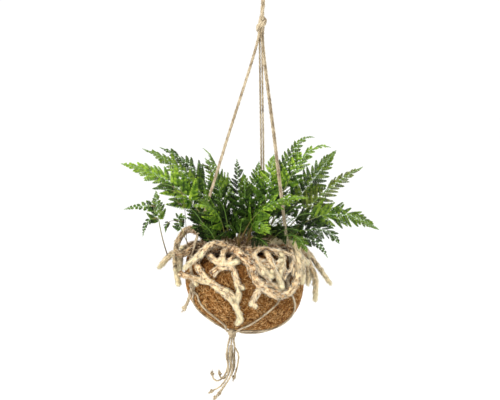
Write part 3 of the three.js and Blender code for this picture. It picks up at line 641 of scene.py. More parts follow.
FRONDS = frond_plans((
    ((-36, -8), (-92, -12, -338), (-200, -10, -330), 0.4, 70, SLANT, LIGHT, 1.2, 0.08),
    ((-30, 12), (-72, 20, -332), (-171, 25, -308), 0.42, 58, UP, MID, 1.3, 0.24),
    ((-22, 26), (-62, 38, -328), (-146, 50, -306), 0.45, 54, UP, DARK, 1.4, 0.24),
    ((-2, 26), (-18, 44, -360), (-24, 62, -317), 0.45, 44, FRONT, DARK),
    ((-20, 0), (-42, 4, -350), (-73, 22, -315), 0.45, 60, UP, MID),
    ((4, -20), (-6, -40, -348), (-12, -54, -326), 0.45, 52, UP, MID),
    ((10, 12), (10, 24, -340), (11, 36, -316), 0.5, 54, FRONT, MID),
    ((22, -2), (30, 2, -345), (33, 10, -301), 0.5, 62, FRONT, LIGHT),
    ((30, 12), (56, 18, -258), (94, 22, -272), 0.5, 46, UP, MID),
    ((34, -6), (66, -6, -264), (119, -8, -283), 0.5, 48, UP, LIGHT),
    ((40, 22), (84, 34, -352), (130, 44, -291), 0.45, 70, FRONT, MID, 1.25, 0.1),
    ((46, 6), (104, 12, -352), (172, 15, -311), 0.42, 56, UP, MID, 1.1, 0.0, True),
    ((50, 18), (112, 30, -362), (154, 34, -388), 0.42, 58, UP, DARK, 1.15),
    ((48, -8), (112, -22, -348), (201, -27, -402), 0.42, 62, SLANT, MID, 1.3, 0.1),
    ((46, -20), (108, -40, -378), (141, -54, -424), 0.42, 60, UP, DARK),
    ((-8, -44), (2, -82, -352), (88, -98, -352), 0.42, 56, UP, LIGHT, 0.85),
    ((6, -38), (4, -76, -366), (33, -116, -407), 0.45, 64, SLANT, LIGHT, 0.82),
    ((-24, -34), (-38, -70, -362), (-82, -96, -377), 0.42, 58, UP, LIGHT, 0.85),
    ((36, -30), (70, -66, -388), (92, -84, -436), 0.42, 54, UP, MID),
    ((-117, -34, -466), (-136.2, -38, -421), (-142, -42, -363.5), 0.55, 36, FRONT, MID),
    ((-136.7, -39, -407.6), (-155.5, -43, -401), (-157, -48, -434.5), 0.12, 16, FRONT, DARK),
    ((-140, -40.4, -388.3), (-162, -43, -385.5), (-188.6, -46, -395.5), 0.12, 18, FRONT, MID),
    ((-36, 36), (-84, 84, -345), (-130, 116, -372), 0.42, 66, BACK, MID),
    ((-12, 48), (-30, 100, -330), (-46, 150, -362), 0.42, 70, BACK, LIGHT),
    ((26, 44), (52, 104, -335), (58, 158, -366), 0.42, 70, BACK, MID),
    ((40, 38), (82, 84, -338), (118, 122, -368), 0.42, 66, BACK, DARK),
    ((20, 32), (42, 66, -322), (72, 98, -306), 0.45, 56, BACK, MID),
    ((-20, 38), (-44, 72, -320), (-80, 104, -308), 0.45, 56, BACK, LIGHT),
    ((-84, -31, -451), (-122.7, -34, -385), (-92.4, -36, -404.6), 0.5, 24, FRONT, MID),
    ((50, -26), (97, -56, -393), (124, -64, -445), 0.45, 28, FRONT, DARK),
))
# Small fronds that close gaps low in the foliage, stand before the left leg, or are withered
FILLERS = frond_plans((
    ((12, 34), (16, 45, -408), (32, 50, -420), 0.2, 46, FRONT, DARK),
    ((4, 28), (2, 40, -404), (-12, 46, -410), 0.2, 46, FRONT, DARK),
    ((-20, 30), (-30, 36, -404), (-46, 40, -420), 0.2, 46, FRONT, DARK),
    ((-35, 22), (-55, 30, -402), (-78, 34, -424), 0.2, 44, FRONT, DARK),
    ((-44, -26), (-53, -50, -390), (-70, -56, -350), 0.35, 36, FRONT, MID),
    ((-46, -22), (-66, -50, -398), (-88, -54, -386), 0.35, 32, FRONT, DARK),
    ((-36, -34), (-50, -56, -412), (-72, -60, -406), 0.35, 34, FRONT, MID),
    ((-118.4, -36, -410.5), (-124.5, -36, -413), (-123.6, -36, -427.5), 0.1, 11, FRONT, DARK),
    ((-114.4, -30, -358.2), (-124.7, -30, -354), (-134.4, -30, -354.5), 0.1, 12, FRONT, DARK),
    ((-114.1, -28, -364.7), (-121.8, -28, -361.7), (-137, -28, -362.4), 0.1, 10, FRONT, DARK),
    ((-105.4, -26, -383.4), (-113.4, -26, -377), (-122.3, -26, -376.4), 0.1, 10, FRONT, DARK),
    ((-64, -10, -328.6), (-71.2, -10, -322.4), (-83.4, -10, -322.3), 0.1, 11, UP, DARK),
))
# Wiry dry stalks at the left, and before the opening right of the middle
TENDRILS = tuple(metres(route) for route in (
    ((-98, -30, -369), (-109.1, -30, -361.9), (-124.7, -30, -355), (-134.4, -30, -353.7)),
    ((-98, -28, -369), (-114.1, -28, -364.7), (-121.8, -28, -362.7), (-137, -28, -362.4)),
    ((-98.4, -26, -389.4), (-105.4, -26, -383.4), (-113.4, -26, -377), (-122.3, -26, -376.4)),
    ((-59.7, -10, -334.5), (-64, -10, -328.6), (-71.2, -10, -323.4), (-83.4, -10, -322.3)),
    ((-96, -34, -409), (-108.3, -36, -408.4), (-118.4, -36, -410.5), (-123.6, -36, -426.8)),
    ((-90.4, -24, -445), (-94.5, -24, -411), (-97.7, -24, -389.6), (-105.8, -24, -359.3)),
    ((22.8, 10, -416.7), (31.2, 10, -395.3), (44.9, 10, -401.1), (68.6, 10, -405.6)),
    ((29.3, 24, -421.4), (40.8, 24, -413), (51.5, 24, -403.3), (61.4, 24, -394.5)),
    ((75.8, 36, -413.4), (65.7, 36, -403.1), (54.3, 36, -397.6), (42.9, 36, -392)),
))
# Lines of sight without leaves, as front end, back end and reach: an opening low in the foliage, then the
# foot of the right leg
SIGHTS = tuple(tuple(map(metres, row)) for row in (
    ((38.7, -110, -388.3), (42.8, 160, -424.7), 8.5),
    ((51.9, -110, -386.7), (57.5, 160, -422.8), 8.5),
    ((63.8, -110, -387.3), (70.7, 160, -423.5), 8.5),
    ((57.4, -120, -393.1), (58.9, -53, -402.3), 6),
    ((60.3, -120, -403.3), (62, -53, -412.8), 6),
    ((64, -120, -413.5), (65.8, -53, -423.2), 6),
))
# Half of the hanging loop, as distance behind the hanger's plane and height, and its top
LOOP_HALF = metres(((3.5, -98), (3.5, -54), (6, -38), (9.6, -22), (9.8, -8), (6.2, 0.5)))
LOOP_TOP = 0.0032
# Tail of the left knot
TAIL = metres(((-78.5, -65, -511), (-80.3, -66, -520), (-82.5, -65.5, -528.5), (-86.5, -64.5, -537)))
TAIL_RADIUS = 0.0026


def colour(code: str) -> tuple[float, float, float, float]:
    """Linear colour of a six-digit display colour."""
    channels = [int(code[i:i + 2], 16) / 255 for i in (0, 2, 4)]
    linear = [c / 12.92 if c <= 0.04045 else ((c + 0.055) / 1.055) ** 2.4 for c in channels]
    return (*linear, 1.0)


class Graph:
    """Node material while it is put together."""

    def __init__(self, name: str, roughness: float, **sockets: float) -> None:
        """Starts a material.

        Args:
            name: Its name.
            roughness: Roughness of the whole surface.
            sockets: Further values of the shader, spaces in their names written as underscores.
        """
        self.material = bpy.data.materials.new(name)
        self.material.use_nodes = True
        self.tree = self.material.node_tree
        self.shader = self.tree.nodes["Principled BSDF"]
        self.feed(self.shader, {"Roughness": roughness})
        self.feed(self.shader, {socket.replace("_", " "): value for socket, value in sockets.items()})
        self.place = self.node("ShaderNodeTexCoord", {}).outputs["Object"]

    def feed(self, node: bpy.types.Node, inputs: dict) -> None:
        """Fills inputs of a node.

        Args:
            node: The node.
            inputs: A socket to link, or a number or colour to set, by name or number of the input.
        """
        for key, value in inputs.items():
            if isinstance(value, Socket):
                self.tree.links.new(value, node.inputs[key])
            else:
                node.inputs[key].default_value = value

    def node(self, kind: str, inputs: dict, **settings: str | bool) -> bpy.types.Node:
        """Adds a node.

        Args:
            kind: Its type.
            inputs: What its inputs take, by name or number.
            settings: Its other settings.

        Returns:
            The node.
        """
        node = self.tree.nodes.new(kind)
        for setting, value in settings.items():
            setattr(node, setting, value)
        self.feed(node, inputs)
        return node

    def noise(self, size: float, detail: float = 3.0, roughness: float = 0.6) -> Socket:
        """Noise in the frame's own places.

        Args:
            size: Length of its largest forms.
            detail: How many finer layers it has.
            roughness: How strong those are.

        Returns:
            Its value, 0 to 1.
        """
        inputs = {"Scale": 1 / size, "Detail": detail, "Roughness": roughness, "Vector": self.place}
        return self.node("ShaderNodeTexNoise", inputs).outputs["Fac"]

    def specks(self, size: float) -> Socket:
        """Strong fine noise, half of it near 0 or 1."""
        return self.combine("MULTIPLY_ADD", self.noise(size, 2.0), 3.4, -1.2)

    def paint(self, name: str) -> Socket:
        """Value painted on the mesh's points."""
        return self.node("ShaderNodeAttribute", {}, attribute_name=name).outputs["Fac"]

    def ramp(self, factor: Socket, *stops: tuple[float, str]) -> Socket:
        """Colour that changes with a value.

        Args:
            factor: The value.
            stops: Value and display colour of each stop, lowest first.

        Returns:
            The colour.
        """
        node = self.node("ShaderNodeValToRGB", {"Fac": factor})
        elements = node.color_ramp.elements
        while len(elements) < len(stops):
            elements.new(0.5)
        for element, (position, code) in zip(elements, stops):
            element.position = position
            element.color = colour(code)
        return node.outputs["Color"]

    def combine(self, operation: str, first: Socket, second: float, third: Socket | float = 0.0) -> Socket:
        """Result of a sum on values, clamped to 0 to 1.

        Args:
            operation: Name of the sum.
            first: First value.
            second: Second number.
            third: Third value, for the sums that take one.

        Returns:
            The result.
        """
        inputs = {0: first, 1: second, 2: third}
        return self.node("ShaderNodeMath", inputs, operation=operation, use_clamp=True).outputs[0]

    def weigh(self, *terms: tuple[Socket, float]) -> Socket:
        """Sum of values, each times its weight."""
        total = 0.0
        for value, weight in terms:
            total = self.combine("MULTIPLY_ADD", value, weight, total)
        return total

    def mix(self, factor: Socket, first: Socket, code: str) -> Socket:
        """Colour mixed with a display colour, which shows by the factor."""
        return self.node("ShaderNodeMix", {0: factor, 6: first, 7: colour(code)}, data_type="RGBA").outputs[2]

    def finish(self, base: Socket, relief: Socket | None = None, depth: float = 0.001) -> bpy.types.Material:
        """Joins colour and relief to the shader.

        Args:
            base: Colour.
            relief: Height of the surface, 0 to 1.
            depth: What a height of 1 means in metres.

        Returns:
            The finished material.
        """
        self.feed(self.shader, {"Base Color": base})
        if relief is not None:
            bump = self.node("ShaderNodeBump", {"Distance": depth, "Height": relief})
            self.feed(self.shader, {"Normal": bump.outputs["Normal"]})
        return self.material


@dataclass(frozen=True)
class CoirFelt:
    """Pressed mat that the loose fibres lie on."""

    deep: str = "1a0d05"
    brown: str = "66401f"
    tan: str = "9c6a38"
    clump: float = 0.006
    fibre: float = 0.0015

    def material(self) -> bpy.types.Material:
        """Brown mat, with painted shade that darkens the low places between clumps to near black."""
        graph = Graph("coir_felt", 0.95, Specular_IOR_Level=0.1)
        height = graph.weigh((graph.noise(self.clump, 4.0), 0.5), (graph.specks(self.fibre), 0.5))
        # Painted shade: the lower the felt's surface, the darker its colour, down to near black in the gaps
        base = graph.ramp(height, (0.3, self.deep), (0.5, self.brown), (0.7, self.tan))
        return graph.finish(base, height, 0.0012)


@dataclass(frozen=True)
class CoirFibre:
    """Loose coconut fibre, each one painted between dark and straw."""

    dark: str = "2a1608"
    brown: str = "774719"
    orange: str = "ba803f"
    straw: str = "ecc488"

    def material(self) -> bpy.types.Material:
        """Colour by the fibre's shade value, its own tone with painted light and shade in it, and patches of
        lighter and darker ones.
        """
        graph = Graph("coir_fibre", 0.85, Specular_IOR_Level=0.15)
        shade = graph.weigh((graph.noise(0.02), 0.25), (graph.specks(0.0026), 0.3),
                            (graph.paint("shade"), 0.62))
        return graph.finish(graph.ramp(
            shade, (0.22, self.dark), (0.42, self.brown), (0.62, self.orange), (0.86, self.straw)))


@dataclass(frozen=True)
class SoilFinish:
    """Dark potting soil with bits of bark."""

    dark: str = "17100b"
    brown: str = "3a2818"
    bark: str = "6b4a2c"

    def material(self) -> bpy.types.Material:
        """Near-black crumbs with brown ones among them."""
        graph = Graph("potting_soil", 1.0)
        grain = graph.noise(0.004, 5.0, 0.7)
        base = graph.ramp(grain, (0.35, self.dark), (0.55, self.brown), (0.75, self.bark))
        return graph.finish(base, grain, 0.001)


@dataclass(frozen=True)
class JuteFinish:
    """Natural jute twine, with painted shade in its grooves."""

    # Dark brown of the darkest yarn, and of the painted shade in the grooves
    groove_shade: str = "392a19"
    tan: str = "998462"
    pale: str = "dacaaa"
    patch: float = 0.012
    yarn: float = 0.0009

    def material(self) -> bpy.types.Material:
        """Tan with paler stretches, and painted shade that darkens the grooves between its plies."""
        graph = Graph("jute_twine", 0.9, Sheen_Weight=0.25, Sheen_Roughness=0.6)
        yarn = graph.noise(self.yarn, roughness=0.7)
        tone = graph.weigh((graph.noise(self.patch), 0.45), (yarn, 0.55))
        base = graph.ramp(tone, (0.34, self.groove_shade), (0.45, self.tan), (0.57, self.pale))
        # Painted shade: the deeper a point lies in a groove, the more it takes the groove's dark brown
        base = graph.mix(graph.weigh((graph.paint("age"), 0.6)), base, self.groove_shade)
        return graph.finish(base, yarn, 0.0005)


@dataclass(frozen=True)
class RhizomeFinish:
    """Woolly rhizome: brown and grey-pink wool on old stretches and in painted shade, cream wool, and pale
    tips.
    """

    name: str
    old: str = "3a2010"
    tan: str = "a27a50"
    cream: str = "f0d6aa"
    white: str = "fff5de"
    tip: str = "f6eec4"
    grain: float = 0.0016

    def material(self) -> bpy.types.Material:
        """Colour by shade, washed with the tip's towards a growing tip."""
        graph = Graph(self.name, 0.9, Sheen_Weight=0.1, Specular_IOR_Level=0.15)
        patch = graph.weigh((graph.noise(0.014, 2.0), 0.4), (graph.specks(0.0024), 0.24))
        lifted = graph.combine("MULTIPLY_ADD", patch, 1.0, -0.16)
        shade = graph.weigh((graph.paint("shade"), 0.7), (lifted, 1.0))
        base = graph.ramp(shade, (0.14, self.old), (0.32, self.tan), (0.53, self.cream), (0.76, self.white))
        young = graph.combine("POWER", graph.paint("age"), 3.0)
        base = graph.mix(graph.weigh((young, 0.65)), base, self.tip)
        return graph.finish(base, graph.noise(self.grain, 4.0, 0.7), 0.0008)


@dataclass(frozen=True)
class LeafFinish:
    """Upper and lower side of a blade: deep green in painted shade at its root and deep in the plant, fresh
    green towards its tip.
    """

    slot: Slot
    deep: str
    green: str
    fresh: str
    name: str = "blade"

    def material(self) -> bpy.types.Material:
        """Green by the shade value painted on each leaflet, its own tone with painted light and shade in it,
        and by how near the frond's tip it is.
        """
        graph = Graph(f"{self.slot.value}_{self.name}", 0.55, Specular_IOR_Level=0.12)
        shade = graph.weigh((graph.noise(0.012, 2.0), 0.18), (graph.specks(0.0032), 0.16),
                            (graph.paint("shade"), 0.7))
        base = graph.ramp(shade, (0.15, self.deep), (0.5, self.green), (0.85, self.fresh))
        young = graph.combine("POWER", graph.paint("age"), 2.0)
        base = graph.mix(graph.weigh((young, 0.55)), base, self.fresh)
        return graph.finish(base, graph.noise(0.0015, 2.0), 0.0002)


# Three tints of the fronds' green: partly each frond's own colour, and partly painted shade, the dark one
# going to the small fronds low and deep in the foliage
LEAVES = (
    LeafFinish(LIGHT, deep="142803", green="466914", fresh="8fad34"),
    LeafFinish(MID, deep="0b1804", green="2e4a0f", fresh="667f22"),
    LeafFinish(DARK, deep="050a02", green="172809", fresh="3b5113"),
)
RIPE_LEAF = LeafFinish(MID, deep="171a07", green="3c4a15", fresh="6c7a2e", name="ripe_blade")


@dataclass(frozen=True)
class StalkFinish:
    """Thin stalk, red-brown at its foot and green in the blade."""

    foot: str = "3d2416"
    middle: str = "7b6a34"
    green: str = "5f8a2c"

    def material(self) -> bpy.types.Material:
        """Colour by how far along the stalk a point lies."""
        graph = Graph("stalk", 0.45)
        base = graph.ramp(graph.paint("age"), (0.0, self.foot), (0.35, self.middle), (0.75, self.green))
        return graph.finish(graph.mix(graph.weigh((graph.noise(0.004, 2.0), 0.3)), base, self.foot))


@dataclass
class Studio:
    """Camera at the photograph's angle, pale floor, soft lights and a white room."""

    aim: Point = (0.0012, 0.0, -0.3732)
    distance: float = 2.5667
    pitch: float = 7.0
    roll: float = 4.0
    lens: float = 120.0
    floor_height: float = -1.05
    floor_radius: float = 14.0
    floor_corners: int = 64
    floor_colour: str = "fbfbf9"
    room_light: float = 1.06

    def stand_camera(self) -> None:
        """Places the camera, tipped down and rolled a little."""
        pitch, roll = math.radians(self.pitch), math.radians(self.roll)
        ahead = Vector((0.0, math.cos(pitch), -math.sin(pitch)))
        level = Vector((1.0, 0.0, 0.0))
        upright = level.cross(ahead)
        right = level * math.cos(roll) + upright * math.sin(roll)
        above = upright * math.cos(roll) - level * math.sin(roll)
        turn = Matrix((right, above, -ahead)).transposed().to_4x4()
        camera = bpy.data.objects.new("camera", bpy.data.cameras.new("camera"))
        camera.data.lens = self.lens
        camera.data.clip_end = 60.0
        camera.matrix_world = Matrix.Translation(Vector(self.aim) - ahead * self.distance) @ turn
        bpy.context.scene.collection.objects.link(camera)
        bpy.context.scene.camera = camera

    def lay_floor(self) -> None:
        """Lays one wide round floor below the plant."""
        rings = np.array([0.4, 0.8, 1.6, 3.2, 6.4, self.floor_radius])
        count = self.floor_corners
        points = round_rings(rings, np.full(len(rings), self.floor_height), count)
        mesh = bpy.data.meshes.new("floor")
        fan = [(points.size // 3, corner, (corner + 1) % count) for corner in range(count)]
        faces = wall_faces(len(rings), count).tolist() + fan
        mesh.from_pydata([*points.reshape(-1, 3).tolist(), (0.0, 0.0, self.floor_height)], [], faces)
        graph = Graph("floor_paint", 0.9)
        tone = graph.ramp(graph.noise(0.5, 2.0), (0.0, self.floor_colour), (1.0, "ffffff"))
        mesh.materials.append(graph.finish(tone))
        floor = bpy.data.objects.new("floor", mesh)
        bpy.context.scene.collection.objects.link(floor)

    def hang_light(self, name: str, at: Point, size: float, power: float, tint: str = "ffffff") -> None:
        """Hangs one square light that looks at the plant.

        Args:
            name: Name of the light.
            at: Its place.
            size: Its side.
            power: Its power in watts.
            tint: Its display colour.
        """
        light = bpy.data.lights.new(name, "AREA")
        light.size = size
        light.energy = power
        light.color = colour(tint)[:3]
        lamp = bpy.data.objects.new(name, light)
        lamp.location = at
        lamp.rotation_euler = (Vector(self.aim) - Vector(at)).to_track_quat("-Z", "Y").to_euler()
        bpy.context.scene.collection.objects.link(lamp)

    def build(self) -> None:
        """Sets up camera, floor, lights and room."""
        self.stand_camera()
        self.lay_floor()
        self.hang_light("key_light", (-1.5, -2.2, 1.3), 1.0, 62.0, "fffaf2")
        self.hang_light("side_light", (2.2, -1.4, 0.4), 1.4, 8.0)
        self.hang_light("top_light", (0.2, 0.3, 1.9), 1.2, 16.0)
        world = bpy.data.worlds.new("white_room")
        world.use_nodes = True
        sky = world.node_tree.nodes["Background"]
        sky.inputs["Color"].default_value = (1.0, 1.0, 1.0, 1.0)
        sky.inputs["Strength"].default_value = self.room_light
        bpy.context.scene.world = world
        bpy.context.scene.view_settings.view_transform = "Standard"


@dataclass(frozen=True)
class Twine:
    """Jute twisted of plies: its radius, and the length in which a ply turns once."""

    radius: float = STRAND
    plies: int = 3
    pitch: float = 0.022
    ply_reach: float = 0.38
    sides: int = 15
    step: float = 0.0012
    unevenness: float = 0.06

    def add(self, draft: Draft, way: Array, seed: int = 0) -> None:
        """Adds one length of twine.

        Args:
            draft: Mesh that takes it.
            way: Points along it.
            seed: Gives each length its own start of the twist.
        """
        path = evenly_spaced(way, self.step)
        lead = seed * GOLDEN + np.arange(len(path)) * self.step * FULL_TURN / self.pitch
        wedge = FULL_TURN / self.plies
        off = (circle(self.sides) - lead[:, None]) % wedge - wedge / 2
        ply = 1 - self.ply_reach
        swell = self.ply_reach * np.cos(off) + np.sqrt(ply**2 - (self.ply_reach * np.sin(off)) ** 2)
        # How deep in a groove between plies each corner lies, which the jute's finish paints as shade
        groove_shade = (1 - swell) / (1 - swell.min())
        uneven = 1 + self.unevenness * Lumps(0.009, 400 + seed).at(path)[:, None]
        add_tube(draft, path, self.radius * swell * uneven, 0.5, groove_shade, self.sides)


def twisted_paths(way: Array, reach: float, pitch: float, count: int) -> list[Array]:
    """Paths of strands twisted round each other.

    Args:
        way: Evenly spaced points along their common middle.
        reach: Distance of each strand from the middle.
        pitch: Length of one full turn.
        count: Number of strands.

    Returns:
        One path for each strand.
    """
    facing = carried_facing(way)
    beside = np.cross(unit(np.gradient(way, axis=0)), facing)
    turns = travelled(way)[:, None] / pitch
    return [way + reach * swing(FULL_TURN * (turns + strand / count), facing, beside)
            for strand in range(count)]


@dataclass
class Knot:
    """Tied knot: strands that run through it, and strands wound over them.

    Girth widens it beyond its solid and bulk thickens its strands. Those that run through turn by the lay.
    The windings start at the first angle, each further round by the lead and higher by the gap, which is
    in strand radii.
    """

    plan: KnotPlan
    axis: Array
    wraps: int = 3
    turns: float = 1.3
    through: int = 5
    swell: float = 3.0
    start: float = 0.35
    climb: float = 0.55
    girth: float = 1.0
    bulk: float = 1.0
    lay: float = 1.2
    first_angle: float = 0.0
    lead: float = 0.5
    gap: float = 1.9
    samples: int = 60

    def sides(self) -> tuple[Array, Array]:
        """Two directions across the knot's axis."""
        first = unit(np.cross(self.axis, (0.3, 1.0, 0.2)))
        return first, np.cross(self.axis, first)

    def outside(self, path: Array, share: float = 0.8) -> Array:
        """Which points of a path lie outside a share of the knot's size."""
        rest = path - np.array(self.plan.at)
        along = rest @ self.axis
        across = np.linalg.norm(rest - along[:, None] * self.axis, axis=1)
        return np.hypot(across / self.plan.radius, along / (self.plan.height / 2)) > share

    def add(self, draft: Draft, twine: Twine) -> None:
        """Adds the knot to a mesh.

        Args:
            draft: Mesh that takes it.
            twine: What it is tied of.
        """
        plan, radius = self.plan, self.plan.radius * self.girth
        twine = replace(twine, radius=twine.radius * self.bulk)
        at = np.array(plan.at)
        first, second = self.sides()
        share = np.linspace(0, 1, self.samples)[:, None]
        for strand in range(self.through):
            angle = FULL_TURN * strand / self.through + self.lay * share
            reach = max(radius - 2.1 * twine.radius, twine.radius) * (0.55 + 0.45 * np.sin(math.pi * share))
            spot = reach * swing(angle, first, second)
            twine.add(draft, at + spot + (share - 0.5) * 1.04 * plan.height * self.axis, strand + 7)
        for wrap in range(self.wraps):
            angle = self.first_angle + self.turns * FULL_TURN * share + self.lead * wrap
            swell = np.minimum(1, self.start + self.swell * np.minimum(share, 1 - share))
            reach = (radius - 0.8 * twine.radius) * swell
            rise = (share - 0.5) * plan.height * self.climb
            rise = rise + (wrap - (self.wraps - 1) / 2) * self.gap * twine.radius
            spot = reach * swing(angle, first, second)
            twine.add(draft, at + spot + rise * self.axis, self.through + 19 + wrap)


@dataclass
class JuteHanger:
    """Hanging loop, three doubled legs with their knots, the net under the bowl, tassel and tail.

    A side knot is given by its radius and height, end knots by their reach, hairs and yarns by their radius,
    and the angle between the two strands of a leg at the top knot as half of it in degrees.
    """

    twine: Twine = Twine()
    bundle_reach: float = 0.00165
    bundle_pitch: float = 0.05
    strand_angle: float = 30.0
    side_knot: Flat = (0.0044, 0.015)
    end_knot: float = 0.00235
    tail_knot: float = 0.0029
    fuzz_spacing: float = 0.0008
    hair: float = 0.00008
    tuft_hairs: int = 26
    tuft_hair: float = 0.00022
    yarns: int = 9
    yarn: float = 0.0007
    paths: list[Array] = field(default_factory=list)

    def __post_init__(self) -> None:
        """Ties the knots in thought, since the strands are cut to them."""
        down = np.array([0.0, 0.0, -1.0])
        self.finish = JuteFinish().material()
        self.top = Knot(TOP_KNOT, down, turns=1.1, climb=0.8, girth=1.2, bulk=1.4, first_angle=-2.4)
        self.gather = Knot(GATHER_KNOT, down, turns=1.4, through=6, climb=0.4)
        self.side_knots = {}
        for leg in LEGS:
            azimuth, height = leg.knot
            at, above = side_places((leg.knot, (azimuth, height + 5)), SIDE_LIFT)
            plan = KnotPlan(tuple(at), *self.side_knot)
            self.side_knots[leg.name] = Knot(plan, unit(at - above), wraps=2, through=3, climb=0.5)

    def into_side_knot(self, leg: LegPlan, side: int, up: int) -> list[Array]:
        """Where a strand dips into its side knot, coming from above (up 1) or going on below (up -1)."""
        shift = side * PAIR_TURN
        azimuth, height = leg.knot[0], leg.knot[1] / 1000
        return list(BOWL.place((
            (azimuth + shift, height + up * 0.009, SIDE_LIFT - 0.0015),
            (azimuth + 0.75 * shift, height + up * 0.002, SIDE_LIFT),
        )))

    def upper_route(self, leg: LegPlan, side: int) -> Array:
        """Way points of one strand of a leg, from the top knot over the rim to its side knot."""
        shift = side * PAIR_TURN
        azimuth = leg.ring + side * self.strand_angle
        rim = side_places(((leg.rim, 1),), shift=shift)[0]
        start = TOP_KNOT.ring(azimuth, -TOP_KNOT.height / 2 - 0.004)
        return np.array([
            TOP_KNOT.ring(azimuth, -0.004),
            start,
            *(start + (rim - start) * share for share in (0.5, 0.94)),
            rim,
            *side_places(leg.wall, shift=shift),
            *self.into_side_knot(leg, side, 1),
        ])

    def net_route(self, leg: LegPlan, run: NetRun) -> Array:
        """Way points of one strand of the net, from its side knot to the gathering knot."""
        return np.array([
            *self.into_side_knot(leg, run.side, -1)[::-1],
            *side_places(run.way),
            GATHER_KNOT.ring(run.ring, 0.004, 0.009),
            GATHER_KNOT.ring(run.ring, 0.0015, 0.0022),
        ])

    def tassel_route(self, points: Array) -> Array:
        """Way points of one loose strand below the gathering knot."""
        out = points[0] - GATHER_KNOT.at
        azimuth = math.degrees(math.atan2(out[1], out[0]))
        return np.array([
            GATHER_KNOT.ring(azimuth, -0.002),
            GATHER_KNOT.ring(azimuth, -GATHER_KNOT.height / 2 - 0.003),
            *points,
        ])

    def strand(self, name: str, route: Array, knots: list[Knot], twine: Twine, seed: int) -> tuple:
        """Makes one strand between knots.

        Args:
            name: Node that it stands for.
            route: Its way points.
            knots: Knots that it ends in.
            twine: What it is made of.
            seed: Number of the strand.

        Returns:
            The piece and the points that it follows.
        """
        path = smooth_route(route, twine.step)
        for knot in knots:
            path = path[knot.outside(path)]
        draft = Draft()
        twine.add(draft, path, seed)
        self.paths.append(path)
        return draft.make(f"{name}_twine", Slot.JUTE, [self.finish], (name,)), path

    def tie_end(self, name: str, at: Array, ahead: Array, size: float, seed: int) -> bpy.types.Object:
        """Ties an overhand knot at a loose end, with a short frayed tuft beyond it.

        Args:
            name: Name of the piece.
            at: The end.
            ahead: Direction in which the cord runs out.
            size: Reach of the knot's middle line.
            seed: Number of the knot.

        Returns:
            The piece.
        """
        draft = Draft()
        turn = np.linspace(0, FULL_TURN, 73)[:-4, None]
        first = unit(np.cross(ahead, (0.2, 1.0, 0.4)))
        second = np.cross(ahead, first)
        loop = (
            (np.sin(turn) + 2 * np.sin(2 * turn)) * ahead
            + (np.cos(turn) - 2 * np.cos(2 * turn)) * first
            - 1.7 * np.sin(3 * turn) * second
        ) * size / 3
        Twine(radius=0.62 * size, pitch=0.014, step=0.0009).add(draft, at + loop, seed)
        draw = np.random.default_rng(900 + seed)
        count = self.tuft_hairs
        root = at + ahead * 0.5 * size + draw.normal(0, 0.25 * size, (count, 3))
        spread = unit(ahead + draw.normal(0, 0.28, (count, 3)))
        length = draw.uniform(1.6, 3.4, (count, 1, 1)) * size
        share = np.linspace(0, 1, 4)[None, :, None]
        curl = draw.normal(0, 0.25, (count, 1, 3))
        tuft = root[:, None] + length * share * (spread[:, None] + share * curl)
        radii = np.full((count, 3), self.tuft_hair) * (1, 0.9, 0.6)
        add_fibres(draft, tuft, radii, np.cross(spread, first)[:, None], draw.uniform(0.3, 1, count))
        return draft.make(name, Slot.JUTE, [self.finish])

    def hang_legs(self) -> None:
        """Makes the three doubled legs down to their side knots."""
        for leg in LEGS:
            for number, side in enumerate((-1, 1), start=1):
                knots = [self.top, self.side_knots[leg.name]]
                piece, path = self.strand(f"leg_{leg.name}_{number}", self.upper_route(leg, side), knots,
                                          self.twine, len(self.paths))

    def net_bowl(self) -> None:
        """Lays the six strands that run on under the bowl to the gathering knot."""
        for leg in LEGS:
            for number, run in enumerate(leg.net, start=1):
                knots = [self.side_knots[leg.name], self.gather]
                self.strand(f"net_{leg.name}_{number}", self.net_route(leg, run), knots, self.twine,
                            len(self.paths))

    def hang_tassel(self) -> None:
        """Hangs the loose strands below the gathering knot and the left knot's tail."""
        for number, points in enumerate(TASSEL, start=1):
            piece, path = self.strand(f"tassel_{number}", self.tassel_route(points), [self.gather],
                                      self.twine, len(self.paths))
            end = self.tie_end(f"tassel_knot_{number}", path[-1], unit(path[-1] - path[-4]), self.end_knot,
                               number)
        left = self.side_knots["left"]
        thick = Twine(radius=TAIL_RADIUS, pitch=0.018)
        piece, path = self.strand("knot_tail", np.array([left.plan.at, *TAIL]), [left], thick, 31)
        end = self.tie_end("tail_knot", path[-1], unit(path[-1] - path[-4]), self.tail_knot, 8)

    def fray_tassel(self) -> None:
        """Winds thin stray yarns through the tassel, so that it hangs as one bundle."""
        draw = np.random.default_rng(17)
        middle = smooth_route(np.mean([points[:4] for points in TASSEL], axis=0), self.twine.step)
        share = np.linspace(0, 1, len(middle))
        draft = Draft()
        for number in range(self.yarns):
            turn = draw.uniform(0, FULL_TURN) + draw.uniform(-3, 3) * share
            reach = draw.uniform(0.0015, 0.0042) * (0.7 + 0.5 * np.sin(math.pi * share))
            path = middle + reach[:, None] * np.stack([np.cos(turn), 0.8 * np.sin(turn), 0 * turn], axis=1)
            last = int(len(path) * draw.uniform(0.6, 1))
            Twine(radius=self.yarn, pitch=0.008).add(draft, path[:last], 60 + number)
        draft.make("tassel_yarns", Slot.JUTE, [self.finish])

